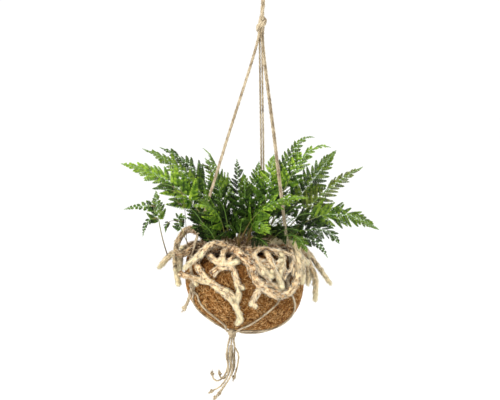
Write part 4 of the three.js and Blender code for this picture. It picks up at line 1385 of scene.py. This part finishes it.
    def raise_loop(self) -> None:
        """Twists the three strands of the hanging loop round each other."""
        rise = [(0.0, away, height) for away, height in LOOP_HALF]
        fall = [(0.0, -away, height) for away, height in LOOP_HALF[::-1]]
        way = smooth_route(np.array([*rise, (0.0, 0.0, LOOP_TOP), *fall]), self.twine.step)
        way = way[self.top.outside(way)]
        draft = Draft()
        for number, path in enumerate(twisted_paths(way, self.bundle_reach, self.bundle_pitch, 3)):
            self.twine.add(draft, path, 40 + number)
            self.paths.append(path)
        draft.make("hanging_loop_twine", Slot.JUTE, [self.finish], ("hanging_loop",))

    def tie_knots(self) -> None:
        """Ties the top knot, the gathering knot and the three side knots."""
        knots = {"top_knot": self.top, "gathering_knot": self.gather}
        knots |= {f"knot_{name}": knot for name, knot in self.side_knots.items()}
        for name, knot in knots.items():
            draft = Draft()
            knot.add(draft, self.twine)
            draft.make(f"{name}_twine", Slot.JUTE, [self.finish], (name,))

    def fluff(self) -> None:
        """Sets fine loose hairs all over the jute."""
        draw = np.random.default_rng(5)
        lines = [evenly_spaced(path, self.fuzz_spacing) for path in self.paths]
        roots = np.concatenate(lines)
        along = np.concatenate([unit(np.gradient(line, axis=0)) for line in lines])
        count = len(roots)
        away = unit(np.cross(along, draw.normal(size=(count, 3))))
        root = roots + away * 0.75 * STRAND
        lean = along * draw.choice((-1, 1), (count, 1)) * draw.uniform(0.4, 1.4, (count, 1)) + away
        length = np.minimum(draw.gamma(2.0, 0.0011, (count, 1, 1)), 0.0045) + 0.0012
        share = np.linspace(0, 1, 3)[None, :, None]
        curl = draw.normal(0, 0.35, (count, 1, 3))
        paths = root[:, None] + length * share * (unit(lean)[:, None] + share * curl)
        radii = np.full((count, 2), self.hair) * (1, 0.75)
        draft = Draft()
        add_fibres(draft, paths, radii, draw.normal(size=(count, 1, 3)), draw.uniform(0.4, 1, count))
        draft.make("jute_fuzz", Slot.JUTE, [self.finish])

    def build(self) -> None:
        """Makes the whole hanger."""
        self.hang_legs()
        self.hang_tassel()
        self.fray_tassel()
        self.net_bowl()
        self.raise_loop()
        self.tie_knots()
        self.fluff()


@dataclass
class CoirBowl:
    """Bowl of pressed coconut fibre, a rough felt body under a mat of loose fibres.

    A fibre's length and radius are given from least to most.
    """

    form: BowlForm = BOWL
    around: int = 128
    fibres: int = 19500
    fibre_steps: int = 3
    fibre_length: Flat = (0.0035, 0.0105)
    fibre_radius: Flat = (0.00019, 0.00042)
    sunk: float = 0.0004
    loose: float = 0.0014
    clump: float = 0.0024
    clumping: float = 0.3
    lip: float = 0.004

    def profile(self) -> Array:
        """Points down the inside, over the lip and down the outside, as distance from the axis and height."""
        form = self.form
        lines = []
        for inset, count, inside in ((form.wall, 16, True), (0.0, 44, False)):
            bottom = form.rim_to_widest + form.half_height - inset
            share = np.linspace(0.004, 1, count)
            depth = self.lip + (bottom - self.lip) * np.cos(0.5 * math.pi * share)
            reach = form.reach(depth, inset)
            line = np.stack([reach, -depth], axis=1)
            lines.append(line if inside else line[::-1])
        bend = np.linspace(0, math.pi, 9)[1:-1]
        rim = float(form.reach(np.array(0.0)))
        middle, half = rim - form.wall / 2, form.wall / 2
        crest = np.stack([middle - half * np.cos(bend), self.lip * (np.sin(bend) - 1)], axis=1)
        return np.concatenate([lines[0], crest, lines[1]])

    def add_felt(self, draft: Draft) -> None:
        """Adds the body, uneven as pressed felt."""
        local = round_rings(*self.profile().T, self.around)
        out = unit(np.cross(np.gradient(local, axis=0), np.gradient(local, axis=1)))
        lumps = 0.0009 * Lumps(0.022, 11).at(local) + 0.0005 * Lumps(0.006, 12).at(local)
        add_body(draft, *self.form.closed(local + out * (lumps - 0.0006)[..., None]))

    def add_mat(self, draft: Draft) -> None:
        """Adds the loose fibres that lie over the outside and the lip."""
        draw = np.random.default_rng(21)
        roots = unit(draw.normal(size=(3 * self.fibres, 3))) * self.form.radius
        roots[:, 2] -= self.form.rim_to_widest
        spot, facing = self.form.snug(roots)
        kept = spot[:, 2] < -0.001
        spot, facing = spot[kept][:self.fibres], facing[kept][:self.fibres]
        count = len(spot)
        heading = unit(np.cross(facing, draw.normal(size=(count, 3))))
        bend = draw.normal(0, 0.45, (count, 1))
        pace = draw.uniform(*self.fibre_length, (count, 1)) / (self.fibre_steps - 1)
        rest = draw.uniform(0.0002, self.loose, (count, 1))
        points = []
        for step in range(self.fibre_steps):
            share = step / (self.fibre_steps - 1)
            arch = rest * math.sin(math.pi * min(1.0, share * 1.05)) - self.sunk * (1 - share)
            capped = np.minimum(spot[:, 2:], 0.0005)
            points.append(np.concatenate([spot[:, :2], capped], axis=1) + facing * arch)
            spot, facing = self.form.snug(spot + heading * pace)
            heading = heading + np.cross(facing, heading) * bend
            heading = unit(heading - facing * (heading * facing).sum(1, keepdims=True))
        paths = self.form.stand(np.stack(points, axis=1))
        radii = draw.uniform(*self.fibre_radius, (count, 1)) * np.array([0.85, 1.0])
        # Painted light: fibres that lie higher off the mat are paler, those that lie low darker
        shade = 0.75 * draw.beta(1.1, 1.2, count) + 0.3 * rest[:, 0] / self.loose
        shade = shade + self.clumping * Lumps(self.clump, 24).at(paths[:, 2])
        # Painted shadow: fibres darken towards the rim, where the rhizomes lie over them
        shade = shade * (1 - 0.5 * np.exp(spot[:, 2] / 0.016))
        add_fibres(draft, paths, radii, self.form.turn(facing)[:, None], np.clip(shade, 0, 1))

    def build(self) -> None:
        """Makes the body and its mat of fibres."""
        body = Draft()
        self.add_felt(body)
        body.make("bowl_felt", Slot.COIR, [CoirFelt().material()], ("coir_bowl",))
        mat = Draft()
        self.add_mat(mat)
        mat.make("bowl_fibres", Slot.COIR, [CoirFibre().material()])


@dataclass
class PottingSoil:
    """Soil that fills the bowl to just under its rim, with loose crumbs, least to largest, on top."""

    form: BowlForm = BOWL
    below_rim: float = 0.012
    crown: float = 0.005
    around: int = 96
    clear_of_wall: float = 0.0008
    crumbs: int = 420
    crumb_size: Flat = (0.0008, 0.0024)

    def top(self, local: Array) -> Array:
        """Height of the soil's surface at places in the bowl's own axes."""
        share = np.hypot(local[..., 0], local[..., 1]) / (self.form.radius - self.form.wall)
        return self.crown * (1 - share**2) - self.below_rim

    def build(self) -> None:
        """Makes the body and its crumbs as one piece."""
        draft = Draft()
        form, inset = self.form, self.form.wall + self.clear_of_wall
        bottom = form.rim_to_widest + form.half_height - inset
        depth = self.below_rim + (bottom - self.below_rim) * np.sin(0.5 * math.pi * np.linspace(0, 0.99, 12))
        edge = form.reach(depth, inset)
        share = np.linspace(0.02, 1, 26)[:-1]
        height = np.concatenate([self.crown * (1 - share**2) - self.below_rim, -depth])
        local = round_rings(np.concatenate([share * edge[0], edge]), height, self.around)
        lumps = 0.001 * Lumps(0.008, 31).at(local) + 0.0006 * Lumps(0.003, 32).at(local)
        local[:len(share), :, 2] += lumps[:len(share)]
        add_body(draft, *form.closed(local))
        draw = np.random.default_rng(33)
        far = np.sqrt(draw.uniform(0, 1, self.crumbs)) * (edge[0] - 0.004)
        angle = draw.uniform(0, FULL_TURN, self.crumbs)
        middle = np.stack([far * np.cos(angle), far * np.sin(angle), np.zeros(self.crumbs)], axis=1)
        middle[:, 2] = self.top(middle) + 0.0004
        crumb = round_rings(np.array([0.75, 1.0, 0.7]), np.array([-0.55, 0.0, 0.6]), 6)
        for spot in middle:
            size = draw.uniform(*self.crumb_size)
            stone = crumb * size * draw.uniform(0.75, 1.25, (3, 6, 1))
            ends = np.array([[0.0, 0.0, -0.9 * size], [0.0, 0.0, 0.95 * size]])
            add_body(draft, form.stand(stone + spot), form.stand(ends + spot))
        draft.make("soil_crumbs", Slot.SOIL, [SoilFinish().material()], ("potting_soil",))


@dataclass
class Creeper:
    """One rhizome: middle line, radius, how far its tip's colour goes, how pale it is, and its taper."""

    path: Array
    thick: float
    youth: float
    tone: float
    taper: float = 0.18


@dataclass
class RhizomeTangle:
    """Low crown and creeping woolly rhizomes, their wool as fine hairs that lie towards the tips.

    Pairs of numbers are a least and a most.
    """

    form: BowlForm = BOWL
    crown_radius: float = 0.062
    crown_height: float = -0.005
    crown_rise: float = 0.016
    crown_sides: int = 90
    crown_rings: int = 30
    step: float = 0.0022
    sides: int = 12
    hairs: int = 50000
    hair_length: Flat = (0.003, 0.0075)
    hair_radius: Flat = (0.00021, 0.00041)
    crown_creepers: int = 34
    crown_thick: Flat = (0.0036, 0.005)
    crown_tone: Flat = (0.35, 0.6)
    buds: int = 22
    bud_length: Flat = (0.008, 0.016)
    shadow_reach: float = 0.015
    shadow_rate: float = 7.0
    streak: float = 0.0016
    streaking: float = 0.56
    ageing: float = 0.22
    shorter: float = 0.19

    def crown_top(self, flat: Array) -> Array:
        """Height of the crown over places in the bowl's own axes."""
        share = np.minimum(1, np.hypot(flat[..., 0], flat[..., 1]) / self.crown_radius)
        return self.crown_height + self.crown_rise * np.sqrt(1 - share**2)

    def outward(self, points: Array) -> Array:
        """Directions away from the middle of the bowl."""
        return unit(points - self.form.stand(np.array([0.0, 0.0, -self.form.rim_to_widest])))

    def tone(self, points: Array, away: Array, wool: Array, tone: Array, openness: Array) -> Array:
        """Shade value of the wool: streaks and patches of its own colour, with painted light on the side that
        looks out of the bowl and painted shadow where other rhizomes cover it.

        Args:
            points: Places on a rhizome.
            away: Directions out from its middle line there.
            wool: Places on the rhizome as if it were straight and shorter, for streaks along it.
            tone: How pale that rhizome is there.
            openness: How open to the light it lies there.

        Returns:
            A value for each place, from dark brown at 0 to white at 1.
        """
        # Painted light: the side of a rhizome that looks out of the bowl is paler, the side that looks in
        # darker
        outward_light = (away * self.outward(points)).sum(-1)
        patch = self.streaking * Lumps(self.streak, 46).at(wool) + 0.14 * Lumps(0.02, 47).at(points)
        # Painted shadow where other rhizomes cover this one, by how open it lies
        return tone * (0.6 + 0.26 * outward_light + patch) * (0.3 + 0.7 * openness)

    def straightened(self, line: Creeper, run: Array, angle: Array) -> Array:
        """Places at runs along a rhizome and angles round it, as if it were straight and shorter."""
        run, angle = np.broadcast_arrays(run * self.shorter, angle)
        beside, above = line.thick * np.cos(angle), line.thick * np.sin(angle)
        return np.stack([run + line.path[0, 0], beside, above], axis=-1)

    def uncover(self, lines: list[Creeper]) -> list[Array]:
        """How open to the light each point of each rhizome lies, falling to 0 under others; it scales the
        painted shadow in their colour.
        """
        points = np.concatenate([line.path for line in lines])
        owner = np.repeat(np.arange(len(lines)), [len(line.path) for line in lines])
        openness = []
        for number, line in enumerate(lines):
            rest = points[None] - line.path[:, None]
            above = (rest * self.outward(line.path)[:, None]).sum(2)
            near = (np.linalg.norm(rest, axis=2) < self.shadow_reach) & (above > 0.002)
            cover = np.where(near & (owner != number), above, 0.0).sum(1)
            openness.append(np.exp(-cover * self.shadow_rate))
        return openness

    def creepers(self) -> list[Creeper]:
        """Every rhizome: fingers, those on the crown, and buds on the fingers."""
        draw = np.random.default_rng(41)
        lines = [
            Creeper(smooth_route(self.form.place(plan.route), self.step), plan.thick, youth, plan.tone,
                    plan.taper)
            for plans, youth in ((FINGERS, 1.0), (RUNNERS, 0.6)) for plan in plans
        ]
        fingers = lines[:len(FINGERS)]
        for number in range(self.crown_creepers):
            angle = number * GOLDEN
            near, far = draw.uniform(0.004, 0.03), draw.uniform(0.04, 0.058)
            bend = draw.uniform(-0.9, 0.9)
            share = np.linspace(0, 1, 5)
            reach = near + (far - near) * share
            turn = angle + bend * share**1.3
            flat = np.stack([reach * np.cos(turn), reach * np.sin(turn), np.zeros(5)], axis=1)
            flat[:, 2] = self.crown_top(flat) + draw.uniform(-0.001, 0.0025) - 0.004 * (share == 0)
            path = smooth_route(self.form.stand(flat), self.step)
            thick, tone = draw.uniform(*self.crown_thick), draw.uniform(*self.crown_tone)
            lines.append(Creeper(path, thick, youth=0.5, tone=tone))
        for number in range(self.buds):
            finger = fingers[number % len(fingers)]
            path = finger.path
            spot = int(len(path) * draw.uniform(0.35, 0.85))
            along = unit(path[min(spot + 2, len(path) - 1)] - path[spot - 2])
            middle = self.form.stand(np.array([0.0, 0.0, path[spot][2] - self.form.rim_centre[2]]))
            away = unit((path[spot] - middle) * (1.0, 1.0, 0.3))
            side = np.cross(along, away) * draw.choice((-1, 1))
            heading = unit(0.7 * along + side + 0.35 * away)
            length = draw.uniform(*self.bud_length)
            share = np.linspace(0, 1, 4)[:, None]
            bud = path[spot] + length * share * (heading + 0.3 * share * along)
            lines.append(Creeper(smooth_route(bud, self.step), 0.72 * finger.thick, youth=1.3, tone=1.05))
        return lines

    def radii(self, line: Creeper) -> Array:
        """Radius at each point: a slow taper, swellings, and a round tip."""
        path, thick = line.path, line.thick
        share = np.linspace(0, 1, len(path))
        left = (1 - share) * route_length(path)
        tip = np.sqrt(np.clip(1 - (1 - left / (1.3 * thick)).clip(0) ** 2, 0.02, 1))
        return 0.97 * thick * (1 - line.taper * share) * tip * (1 + 0.12 * Lumps(0.013, 44).at(path))

    def build(self) -> None:
        """Makes the tangle's body and its wool."""
        body, wool = Draft(), Draft()
        skin = RhizomeFinish("rhizome_skin", old="24140a", tan="6a482c", cream="be986a", white="efd6ac")
        lines = self.creepers()
        self.add_crown(body)
        draw = np.random.default_rng(42)
        lumps = Lumps(0.007, 43)
        area = np.array([route_length(line.path) * line.thick for line in lines])
        for line, openness, share in zip(lines, self.uncover(lines), area / area.sum()):
            path = line.path
            radii = self.radii(line)
            facing = carried_facing(path)
            rings = rings_along(path[None], radii[None], facing[None], self.sides)[0]
            rings = path[:, None] + (rings - path[:, None]) * (1 + 0.13 * lumps.at(rings))[..., None]
            age = np.minimum(1, np.linspace(0, 1, len(path)) * line.youth)
            ends = path[[0, -1]] + unit(path[-1] - path[-2]) * np.array([[0.0], [0.0006]])
            away = unit(rings - path[:, None])
            run = np.arange(len(path)) * self.step
            wool_at = self.straightened(line, run[:, None], circle(self.sides))
            tones = line.tone * np.linspace(1 - self.ageing, 1 + 0.5 * self.ageing, len(path))
            # The body takes the wool's painted light and painted shadow, a little darker
            shade = self.tone(rings, away, wool_at, tones[:, None], openness[:, None]) - 0.15
            add_body(body, rings, ends, shade, age[:, None])
            self.add_wool(wool, draw, line, radii, tones, openness, int(self.hairs * share))
        body.make("rhizome_body", Slot.RHIZOME, [skin.material()], ("rhizomes",))
        wool.make("rhizome_wool", Slot.RHIZOME, [RhizomeFinish("rhizome_wool").material()])

    def add_crown(self, draft: Draft) -> None:
        """Adds the crown, a low lumpy mound on the soil."""
        share = np.concatenate([np.linspace(0.02, 1, self.crown_rings), np.linspace(0.96, 0.1, 6)])
        local = round_rings(share * self.crown_radius, 0 * share, self.crown_sides)
        local[..., 2] = self.crown_top(local)
        over, under = local[:self.crown_rings], local[self.crown_rings:]
        under[..., 2] = 2 * self.crown_height - under[..., 2]
        over[..., 2] += 0.0022 * Lumps(0.013, 45).at(over) - 0.002
        add_body(draft, *self.form.closed(local), 0.05)

    def add_wool(self, draft: Draft, draw: np.random.Generator, line: Creeper, radii: Array, tones: Array,
                 openness: Array, count: int) -> None:
        """Adds the hairs of one rhizome.

        Args:
            draft: Mesh that takes them.
            draw: Source of random numbers.
            line: The rhizome.
            radii: Its radius at each point.
            tones: How pale its wool is at each point.
            openness: How open to the light it lies at each point.
            count: Number of hairs.
        """
        path = line.path
        facing = carried_facing(path)
        along = unit(np.gradient(path, axis=0))
        beside = np.cross(along, facing)
        spot = draw.uniform(0, len(path) - 1.001, count)
        low = spot.astype(int)
        part = (spot - low)[:, None]
        angle = draw.uniform(0, FULL_TURN, (count, 1))
        away = swing(angle, facing[low], beside[low])
        middle = path[low] * (1 - part) + path[low + 1] * part
        reach = radii[low] * (1 - part[:, 0]) + radii[low + 1] * part[:, 0]
        root = middle + away * reach[:, None] * 0.95
        lean = draw.uniform(0.05, 0.55, (count, 1))
        heading = unit(along[low] + lean * away + draw.normal(0, 0.18, (count, 3)))
        room = 0.003 + 0.5 * (len(path) - 1 - spot) * self.step
        length = np.minimum(draw.uniform(*self.hair_length, count), room)[:, None, None]
        share = np.array([0.0, 1.0])[:, None]
        paths = root[:, None] + length * share * heading[:, None]
        wool_at = self.straightened(line, spot * self.step, angle[:, 0])
        # Each hair takes the painted light and painted shadow of its place, and a random tone of its own
        shade = self.tone(root, away, wool_at, tones[low], openness[low]) + draw.normal(0.1, 0.2, count)
        shade = np.clip(shade, 0, 1)
        age = np.minimum(1, spot / (len(path) - 1) * line.youth)
        add_fibres(draft, paths, draw.uniform(*self.hair_radius, (count, 1)), away[:, None], shade, age)


# Middle of the foliage, and how far out from it leaves lie in the dark or in full light
HEART = np.array([-0.002, 0.0, -0.425])
DARK_WITHIN = 0.04
LIGHT_FROM = 0.125
DIMMEST = 0.2


def daylight(points: Array) -> Array:
    """How light a place in the plant is: dimmest among the stalks, 1 on its outside."""
    far = np.linalg.norm((points - HEART) * (1.0, 1.0, 1.25), axis=-1)
    return DIMMEST + (1 - DIMMEST) * np.clip((far - DARK_WITHIN) / (LIGHT_FROM - DARK_WITHIN), 0, 1)


@dataclass
class Clearance:
    """Keeps leaves out of the cords."""

    cords: Array
    room: float = 0.0032

    def of_cords(self, points: Array) -> Array:
        """Which points lie clear of every cord and of the lines of sight."""
        gaps = np.linalg.norm(points[:, None] - self.cords[None], axis=2)
        clear = gaps.min(1) > self.room
        for near, far, reach in SIGHTS:
            aside = np.cross(points - near, unit(far - near))
            clear &= (np.linalg.norm(aside, axis=1) > reach) | (points[:, 1] > far[1])
        return clear


@dataclass(frozen=True)
class LeafShape:
    """Proportions of a finely cut blade, its leaflets and their lobed segments. Angles are in degrees."""

    pair_step: float = 0.0064
    first_pair: float = 0.12
    tip_room: float = 0.25
    crowding: float = 1.6
    taper: float = 1.05
    base_angle: float = 66.0
    angle_fall: float = 22.0
    angle_spread: float = 5.0
    twist: float = 15.0
    stagger: float = 0.18
    droop: float = 0.2
    sweep: float = 0.1
    rib: float = 0.0003
    segment_step: float = 0.0034
    segment_reach: float = 0.58
    segment_width: float = 0.6
    segment_angle: float = 52.0
    segment_fall: float = 14.0
    segment_room: float = 0.6
    tilt: float = 0.22
    fold: float = 0.22
    curl: float = 0.14
    shading: float = 0.56
    mottle: float = 0.25
    # Painted light and shade on each leaflet, as if it were tilted: one half of it paler, the other darker
    lit_far_half: float = 0.1
    shaded_near_half: float = -0.15


# One leaf segment, flat: along its rib, then the lobed edge on one side as share of length and of width
SEGMENT_RIB = ((0.0, 0.0), (0.35, 0.0), (0.7, 0.0), (1.0, 0.0))
SEGMENT_EDGE = ((0.05, 0.62), (0.3, 1.0), (0.42, 0.66), (0.62, 0.82), (0.74, 0.42))
SEGMENT_FACES = ((0, 4, 5), (0, 5, 1), (5, 6, 1), (1, 6, 2), (6, 7, 2), (7, 8, 2), (8, 3, 2))
# How wide the leaflets of a frond are, by its colour
FULLNESS = {LIGHT: 1.08, MID: 0.96, DARK: 0.86}


@dataclass
class Frond:
    """One frond: thin stalk, and a blade cut into leaflets and lobed segments."""

    number: int
    plan: FrondPlan
    crown: RhizomeTangle
    shape: LeafShape = LeafShape()
    stalk: float = 0.00105
    stalk_least: float = 0.00045
    stalk_growth: float = 0.006
    stalk_tip: float = 0.0004
    sunk: float = 0.007
    stalk_sides: int = 7
    curve_points: int = 90
    spine_steps: int = 80

    def __post_init__(self) -> None:
        """Works out the stalk's curve and the directions along, across and out of the blade."""
        self.draw = np.random.default_rng(600 + self.number)
        self.fullness = FULLNESS[self.plan.slot] * self.plan.full * self.draw.uniform(0.9, 1.06)
        base, via, tip = self.plan.base, self.plan.via, self.plan.tip
        if len(base) == 2:
            base = self.crown.form.stand(np.array([*base, self.crown.crown_top(base) - self.sunk]))
        share = np.linspace(0, 1, self.curve_points)[:, None]
        curve = (1 - share) ** 2 * base + 2 * share * (1 - share) * via + share**2 * tip
        self.spine = evenly_spaced(curve, route_length(curve) / self.spine_steps)
        self.length = route_length(self.spine)
        self.along = unit(np.gradient(self.spine, axis=0))
        self.across = unit(np.cross(self.along, self.plan.face.value))
        self.out = np.cross(self.across, self.along)

    def at(self, table: Array, share: Array) -> Array:
        """Reads a table along the stalk at shares of its length."""
        spot = np.clip(share, 0, 1) * (len(table) - 1)
        low = np.minimum(spot.astype(int), len(table) - 2)
        part = (spot - low)[:, None]
        return table[low] * (1 - part) + table[low + 1] * part

    def leaflets(self) -> dict[str, Array]:
        """Place, directions, length and number of segments of every leaflet."""
        shape, bare = self.shape, self.plan.bare
        pairs = max(8, round(self.length * (1 - bare) / shape.pair_step))
        order = np.repeat(np.arange(pairs), 2)
        side = np.tile([-1.0, 1.0], pairs)
        left = 1 - (order + shape.first_pair + shape.stagger * side + 0.1) / (pairs + shape.tip_room)
        inner = 1 - left**shape.crowding
        share = bare + (1 - bare) * inner
        spread = self.draw.normal(0, shape.angle_spread, len(share))
        angle = np.radians(shape.base_angle - shape.angle_fall * share + spread)
        length = 0.5 * self.plan.span * (1 - inner) ** shape.taper / np.sin(angle)
        length *= self.draw.uniform(0.82, 1.08, len(length))
        along, across, out = (self.at(table, share) for table in (self.along, self.across, self.out))
        lift = np.radians(self.draw.normal(0, shape.twist, len(share)))[:, None]
        side = side[:, None]
        sideways = across * side * np.cos(lift) + out * np.sin(lift)
        facing = out * np.cos(lift) - across * side * np.sin(lift)
        angle = angle[:, None]
        return {
            "root": self.at(self.spine, share),
            "ahead": sideways * np.sin(angle) + along * np.cos(angle),
            "cross": along * np.sin(angle) - sideways * np.cos(angle),
            "facing": facing,
            "along": along,
            "length": length,
            "inner": inner,
            "shade": self.draw.uniform(0.24, 0.86, len(share)) + self.plan.lift,
            "spacing": self.length * (1 - bare) * shape.crowding * left ** (shape.crowding - 1) / pairs,
        }

    def leaflet_point(self, leaf: dict[str, Array], which: Array, share: Array) -> Array:
        """Points on leaflets' ribs at shares of their length."""
        run = (leaf["length"][which] * share)[:, None]
        bend = run * share[:, None]
        shape = self.shape
        return (leaf["root"][which] + leaf["ahead"][which] * run + leaf["along"][which] * bend * shape.sweep
                - leaf["facing"][which] * bend * shape.droop)

    def add_segments(self, draft: Draft, leaf: dict[str, Array], clear: Clearance) -> None:
        """Adds the lobed segments along both sides of every leaflet, and one at its tip.

        Args:
            draft: Mesh that takes them.
            leaf: The leaflets.
            clear: Tells which segments would cross a cord.
        """
        shape = self.shape
        counts = np.maximum(2, np.round(leaf["length"] / shape.segment_step)).astype(int)
        rooms, every = counts + shape.segment_room, np.arange(len(counts))
        which = np.repeat(every, counts)
        order = np.arange(len(which)) - np.repeat(np.cumsum(counts) - counts, counts)
        gap = leaf["length"] / rooms
        parts = []
        for side in (-1.0, 1.0):
            share = (order + 0.55 + 0.2 * side) / rooms[which]
            reach = shape.segment_reach * self.fullness * leaf["spacing"][which]
            reach = reach * (1 - 0.9 * share**2) + 0.0004
            if side < 0:
                reach = reach * (1 + 0.9 * np.maximum(0, 0.25 - leaf["inner"][which]) * 4 * (1 - share))
            slope = np.radians(shape.segment_angle - shape.segment_fall * share)
            parts.append((which, share, reach, slope, side, gap[which]))
        parts.append((every, 1 - 1.2 / rooms, 1.6 * gap, 0 * rooms, 1.0, 0.8 * gap))
        for which, share, reach, slope, side, gap in parts:
            root = self.leaflet_point(leaf, which, share)
            run = unit(self.leaflet_point(leaf, which, share + 0.01) - root)
            cross = leaf["cross"][which]
            slope = slope[:, None]
            ahead = unit(run * np.cos(slope) + side * cross * np.sin(slope))
            facing = unit(leaf["facing"][which] + self.draw.normal(0, shape.tilt, (len(which), 3)))
            beside = unit(np.cross(facing, ahead))
            facing = np.cross(ahead, beside)
            # Painted light and shade: one half of each leaflet lighter, the other darker
            tone = leaf["shade"][which] + (shape.shaded_near_half if side < 0 else shape.lit_far_half)
            self.add_segment(draft, root, ahead, beside, facing, reach, gap * shape.segment_width,
                             leaf["inner"][which], tone, clear)

    def add_segment(self, draft: Draft, root: Array, ahead: Array, beside: Array, facing: Array,
                    reach: Array, width: Array, age: Array, shade: Array, clear: Clearance) -> None:
        """Adds many lobed segments at once.

        Args:
            draft: Mesh that takes them.
            root: Where each starts.
            ahead: Its direction.
            beside: Direction across it.
            facing: Direction that its upper side looks.
            reach: Its length.
            width: Half its width.
            age: How near the frond's tip it is.
            shade: How light its leaflet is.
            clear: Tells which ones would cross a cord.
        """
        kept = clear.of_cords(root + ahead * 0.5 * reach[:, None])
        root, ahead, beside, facing, reach, width, age, shade = (
            values[kept] for values in (root, ahead, beside, facing, reach, width, age, shade))
        edge = np.array(SEGMENT_EDGE)
        flat = np.concatenate([np.array(SEGMENT_RIB), edge, edge * (1, -1)])
        run, wide = flat[:, 0], flat[:, 1]
        fold = self.shape.fold * np.abs(wide)
        points = (
            root[:, None]
            + ahead[:, None] * (run * reach[:, None])[..., None]
            + beside[:, None] * (wide * width[:, None])[..., None]
            + facing[:, None] * (fold * width[:, None] - self.shape.curl * run**2 * reach[:, None])[..., None]
        )
        left = np.array(SEGMENT_FACES)
        right = np.where(left >= 4, left + len(edge), left)[:, ::-1]
        start = (np.arange(len(root)) * len(flat))[:, None, None]
        shade = shade + self.draw.normal(0, self.shape.mottle, len(root))
        # Painted shade: each segment darker at its root, and every leaflet darker and less fresh deep in the
        # plant
        shade = (shade[:, None] + self.shape.shading * (run - 0.45)) * daylight(points)
        age = age[:, None] * daylight(points)
        draft.add(points, [left[None, :, ::-1] + start, right[None, :, ::-1] + start], shade, age)

    def build(self, draft: Draft, clear: Clearance) -> None:
        """Adds stalk, leaflet ribs and segments to a mesh.

        Args:
            draft: Mesh that takes them.
            clear: Tells which segments would cross a cord.
        """
        share = np.linspace(0, 1, len(self.spine))
        foot = min(self.stalk, self.stalk_least + self.stalk_growth * self.length)
        radii = foot + (self.stalk_tip - foot) * share
        age = np.clip(share / max(0.2, self.plan.bare) * 0.55, 0, 1)
        add_tube(draft, self.spine, radii, 0.5, age[:, None], self.stalk_sides, coat=1)
        leaf = self.leaflets()
        which = np.arange(len(leaf["length"]))
        steps = [self.leaflet_point(leaf, which, np.full(len(which), s)) for s in (0, 0.25, 0.5, 0.75, 0.98)]
        radii = self.shape.rib * np.array([1.0, 0.85, 0.7, 0.5]) * np.ones((len(which), 1))
        add_fibres(draft, np.stack(steps, axis=1), radii, leaf["facing"][:, None], np.full(len(which), 0.5),
                   0.8, coat=1)
        self.add_segments(draft, leaf, clear)


@dataclass
class Fern:
    """All the fronds: each long one a piece of its own, and the short ones deep in the plant by colour.

    Pairs of numbers are a least and a most.
    """

    crown: RhizomeTangle
    cords: list[Array]
    short: int = 46
    short_reach: float = 0.05
    short_height: float = -0.44
    short_bare: Flat = (0.34, 0.5)
    short_span: Flat = (0.04, 0.058)
    cord_step: float = 0.003
    tendril: float = 0.0005
    tendril_step: float = 0.0016
    tendril_sides: int = 6

    def short_plans(self) -> list[FrondPlan]:
        """Plans of the short fronds that crowd the crown, low ones and taller ones in turn."""
        draw = np.random.default_rng(71)
        plans = []
        for number in range(self.short):
            angle = number * GOLDEN + 0.4
            out = np.array([math.cos(angle), math.sin(angle)])
            base = out * self.short_reach * math.sqrt((number + 0.5) / self.short)
            low = number % 2 == 0
            rise = draw.uniform(0.03, 0.045) if low else draw.uniform(0.05, 0.075)
            lean, run = draw.uniform(0.008, 0.024), draw.uniform(0.03, 0.048)
            via = base + out * lean
            tip = via + out * run + draw.normal(0, 0.008, 2)
            top = self.short_height + rise
            drop = draw.uniform(-0.022, 0.002) if low else draw.uniform(-0.012, 0.014)
            face = BACK if out[1] > 0.3 else draw.choice([UP, SLANT])
            slot = draw.choice([DARK, DARK, MID])
            plans.append(FrondPlan(base, np.array([*via, top]), np.array([*tip, top + drop]),
                                   draw.uniform(*self.short_bare), draw.uniform(*self.short_span),
                                   face, slot))
        return plans

    def build(self) -> None:
        """Makes every frond in place of its node."""
        blades = {leaf.slot: leaf.material() for leaf in LEAVES}
        ripe, stalk = RIPE_LEAF.material(), StalkFinish().material()
        clear = Clearance(np.concatenate([evenly_spaced(path, self.cord_step) for path in self.cords]))
        for number, plan in enumerate(FRONDS, start=1):
            draft = Draft()
            Frond(number, plan, self.crown).build(draft, clear)
            blade = ripe if plan.ripe else blades[plan.slot]
            draft.make(f"fern_frond_{number:02d}", plan.slot, [blade, stalk], (f"frond_{number:02d}",))
        inner = {MID: Draft(), DARK: Draft()}
        for number, plan in enumerate([*self.short_plans(), *FILLERS], start=60):
            Frond(number, plan, self.crown).build(inner[plan.slot], clear)
        for route in TENDRILS:
            path = smooth_route(route, self.tendril_step)
            radii = np.linspace(self.tendril, 0.7 * self.tendril, len(path))
            add_tube(inner[DARK], path, radii, 0.5, 0.05, self.tendril_sides, coat=1)
        for slot, draft in inner.items():
            draft.make(f"inner_{slot.value}", slot, [blades[slot], stalk])


def main() -> None:
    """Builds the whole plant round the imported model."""
    logging.basicConfig(level=logging.INFO, format="%(message)s")
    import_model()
    Studio().build()
    hanger = JuteHanger()
    hanger.build()
    CoirBowl().build()
    PottingSoil().build()
    rhizomes = RhizomeTangle()
    rhizomes.build()
    Fern(rhizomes, hanger.paths).build()


if __name__ == "__main__":
    main()
